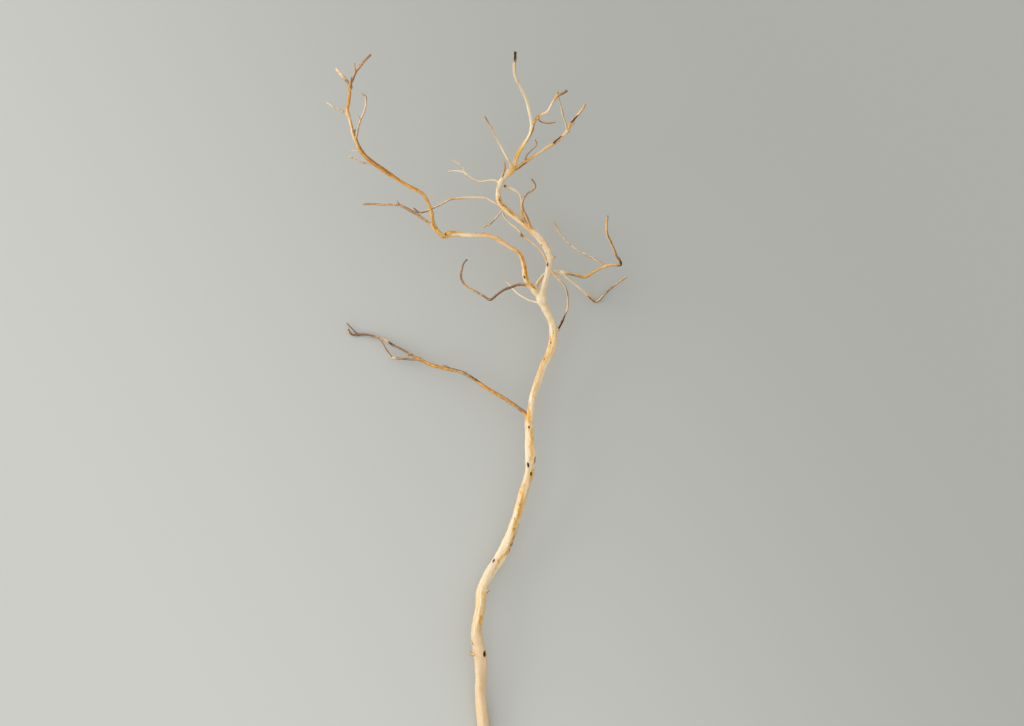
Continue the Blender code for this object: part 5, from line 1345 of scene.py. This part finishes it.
def wood_material(name, roughness):
    """Bare weathered wood: cream sapwood, honey and orange-brown streaks, and bark where it clings."""
    material, tree, shader = new_material(name, roughness)
    grain = tree.add("ShaderNodeAttribute", {"attribute_name": "grain"}, None, 1)
    honey, bark, scar, girth = (tree.add("ShaderNodeAttribute", {"attribute_name": label}, None, 2)
                                for label in ("honey", "bark", "scar", "girth"))
    thin = (1 - girth * 0.25).clear(0.0, 1.0)
    broad, streak, fine, hair, mottle = (tree.pattern(grain, label) - 0.5
                                         for label in ("broad", "streak", "fine", "hair", "mottle"))
    stain = honey + broad * (honey + 0.6) + streak * (honey * 1.6 + 0.7) + fine * (honey * 0.9 + 0.3)
    stain = stain + mottle * (honey * 2.2 + thin * 0.7 + 0.2)
    bleach = (0.12 - honey * 0.5 - broad * 0.9 - streak * 0.7).clear(0.0, 0.22)
    colour = tree.mix(bleach * 0.7, CREAM, BLEACHED)
    for start, full, tint in STAIN_COLOURS:
        colour = tree.mix(stain.clear(start, full), colour, tint)
    colour = tree.mix(girth.clear(*PATINA_GIRTH) * (PATINA_SHARE - scar), colour, PATINA)
    lines = (fine * 0.7 + hair * 0.6 + streak * 0.5).clear(0.05, 0.22)
    colour = tree.mix(lines * (honey * 0.5 + 0.25), colour, HEARTWOOD)
    crack = tree.pattern(grain, "crack").clear(0.68, 0.74)
    speck = tree.pattern(grain, "speck").clear(0.75, 0.79)
    colour = tree.mix(crack * 0.6 + speck * 0.8, colour, DARK_BARK)
    cover, patch = bark_cover(tree, grain, bark), tree.pattern(grain, "patch")
    skin = tree.mix((patch * 1.6 + fine * 0.8 + bark * 0.5 - 0.95).clear(-0.05, 0.3), PALE_BARK, GREY_BARK)
    skin = tree.mix((patch * 0.9 + bark * 2.2 - 2.15).clear(0.0, 0.35), skin, DARK_BARK)
    colour = tree.mix(cover * 0.96, colour, skin)
    rough = cover * 0.3 + scar * 0.5 + hair * 0.3 + stain * 0.1 + roughness
    height = hair * 0.4 + fine * 0.6 + streak * 0.5 - crack * 0.8 + patch * cover * 0.9
    height = height * (girth * 0.2 + 0.15).math("MINIMUM", 1.0)
    # The scar share paints the black of scars: dark wood with painted shade in the pit
    tree.feed(shader, Base_Color=tree.mix(scar, colour, SCAR_BLACK_AND_PIT_SHADE), Roughness=rough,
              Normal=bump(tree, height, WOOD_BUMP))
    shader.inputs["Specular IOR Level"].default_value = WOOD_SHEEN
    return material


def saw_cut_material(middle):
    """End grain: growth rings round the pith, a darker rim, a few drying checks and the saw's marks."""
    material, tree, shader = new_material("saw_cut", SAW_ROUGHNESS)
    place = tree.add("ShaderNodeTexCoord", None, None, 3)
    centre = {"Location": [-x / MM for x in middle], "Scale": (1 / MM, 1 / MM, 1 / MM)}
    place = tree.add("ShaderNodeMapping", None, {"Vector": place, **centre})
    wander = tree.noise(place, 0.12, 2.0, 0.5)
    flat = tree.vector_math("MULTIPLY", place, (1, 0, 1))
    far = tree.vector_math("LENGTH", flat, output=1)
    rings = (far * 8.0 + wander * 12.0 + (far * 0.9).math("SINE") * 1.6).math("SINE") * 0.5 + 0.5
    ray = (tree.noise(tree.vector_math("NORMALIZE", flat), 2.1, 1.0) - 0.5).math("ABSOLUTE")
    reach = tree.noise(place, 0.3, 1.0).clear(0.45, 0.56)
    grit = tree.noise(place, 2.4, 3.0, 0.7)
    checks = (1 - (ray * far * 13.0).clear(0.06, 0.3)) * reach
    colour = tree.mix(rings * 0.4 + grit * 0.5, PATINA, HONEY)
    colour = tree.mix((1 - far * 0.45).clear(0.0, 1.0) * 0.8, colour, HEARTWOOD)
    colour = tree.mix(far.clear(8.6, 10.2) * 0.5, colour, ORANGE_BROWN)
    colour = tree.mix(checks * 0.75, colour, DARK_BARK)
    tree.feed(shader, Base_Color=colour, Normal=bump(tree, rings * 0.5 + grit - checks, SAW_BUMP))
    return material


def floor_material():
    """A matt pale grey, with a painted falloff of light that fades it a little darker across the picture."""
    material, tree, shader = new_material("pale_floor", FLOOR_ROUGHNESS)
    turn = (0, 0, math.radians(-FLOOR_PAINTED_FALLOFF_TURN))
    place = tree.add("ShaderNodeTexCoord", None, None, 3)
    place = tree.add("ShaderNodeMapping", None, {"Vector": place, "Rotation": turn})
    across = tree.add("ShaderNodeSeparateXYZ", None, {0: place})
    tree.feed(shader, Base_Color=tree.mix(across.clear(*FLOOR_PAINTED_FALLOFF), FLOOR_LIGHT, FLOOR_PAINTED_SHADE))
    shader.inputs["Specular IOR Level"].default_value = FLOOR_SHEEN
    return material


def lay_floor():
    bpy.ops.mesh.primitive_plane_add(size=FLOOR_SIDE)
    floor = bpy.context.object
    floor.name = "pale_floor"
    floor.data.materials.append(floor_material())


def light_branch():
    """A broad low sun from the left, and an even pale sky that is a little brighter on that side."""
    sun = bpy.data.lights.new("key", "SUN")
    sun.energy, sun.angle, sun.color = SUN_STRENGTH, math.radians(SUN_WIDTH), SUN_COLOUR
    lamp = new_object("key", sun)
    lamp.rotation_euler = (math.radians(SUN_ELEVATION - 90), 0, math.radians(-SUN_BEARING))
    world = bpy.data.worlds.new("studio")
    bpy.context.scene.world = world
    world.use_nodes = True
    sky = world.node_tree.nodes["Background"]
    sky.inputs["Color"].default_value = (*SKY_COLOUR, 1)
    tree = Tree(world.node_tree)
    way = tree.add("ShaderNodeTexCoord", None, None, 0)
    toward = tree.vector_math("DOT_PRODUCT", way, SKY_BRIGHT_SIDE, output=1)
    tree.feed(sky, Strength=(toward * SKY_LEAN + 1) * SKY_STRENGTH)


def place_camera(middle):
    """A camera straight above, so high that it sees the branch without perspective, as the photo does."""
    lens = bpy.data.cameras.new("straight_above")
    lens.sensor_width = SENSOR_WIDTH
    lens.lens = SENSOR_WIDTH * (CAMERA_HEIGHT - VIEW_LEVEL) / VIEW_WIDTH
    lens.clip_start, lens.clip_end = CLIP_RANGE
    camera = new_object("straight_above", lens)
    camera.location = (middle[0], middle[1], CAMERA_HEIGHT)
    bpy.context.scene.camera = camera
    bpy.context.scene.view_settings.view_transform = "Standard"


limbs = grow_limbs()
origin = drawing_origin(STEM[0])
lay_floor()
light_branch()
place_camera(origin + np.array([*VIEW_MIDDLE, 0]) * MM)
groups = {"tubes": limb_tubes_tree(), "weathering": weathering_tree(), "splinters": splinters_tree()}
woods = {name: wood_material(name, roughness) for name, roughness in SLOT_ROUGHNESS.items()}
woods["saw_cut"] = saw_cut_material(origin + np.array(STEM[0][:3]) * MM)
for part, pieces in stretches(limbs).items():
    wood = make_part(part, pieces, limbs, groups, woods, origin)
    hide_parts(part)
    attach(wood, "root")
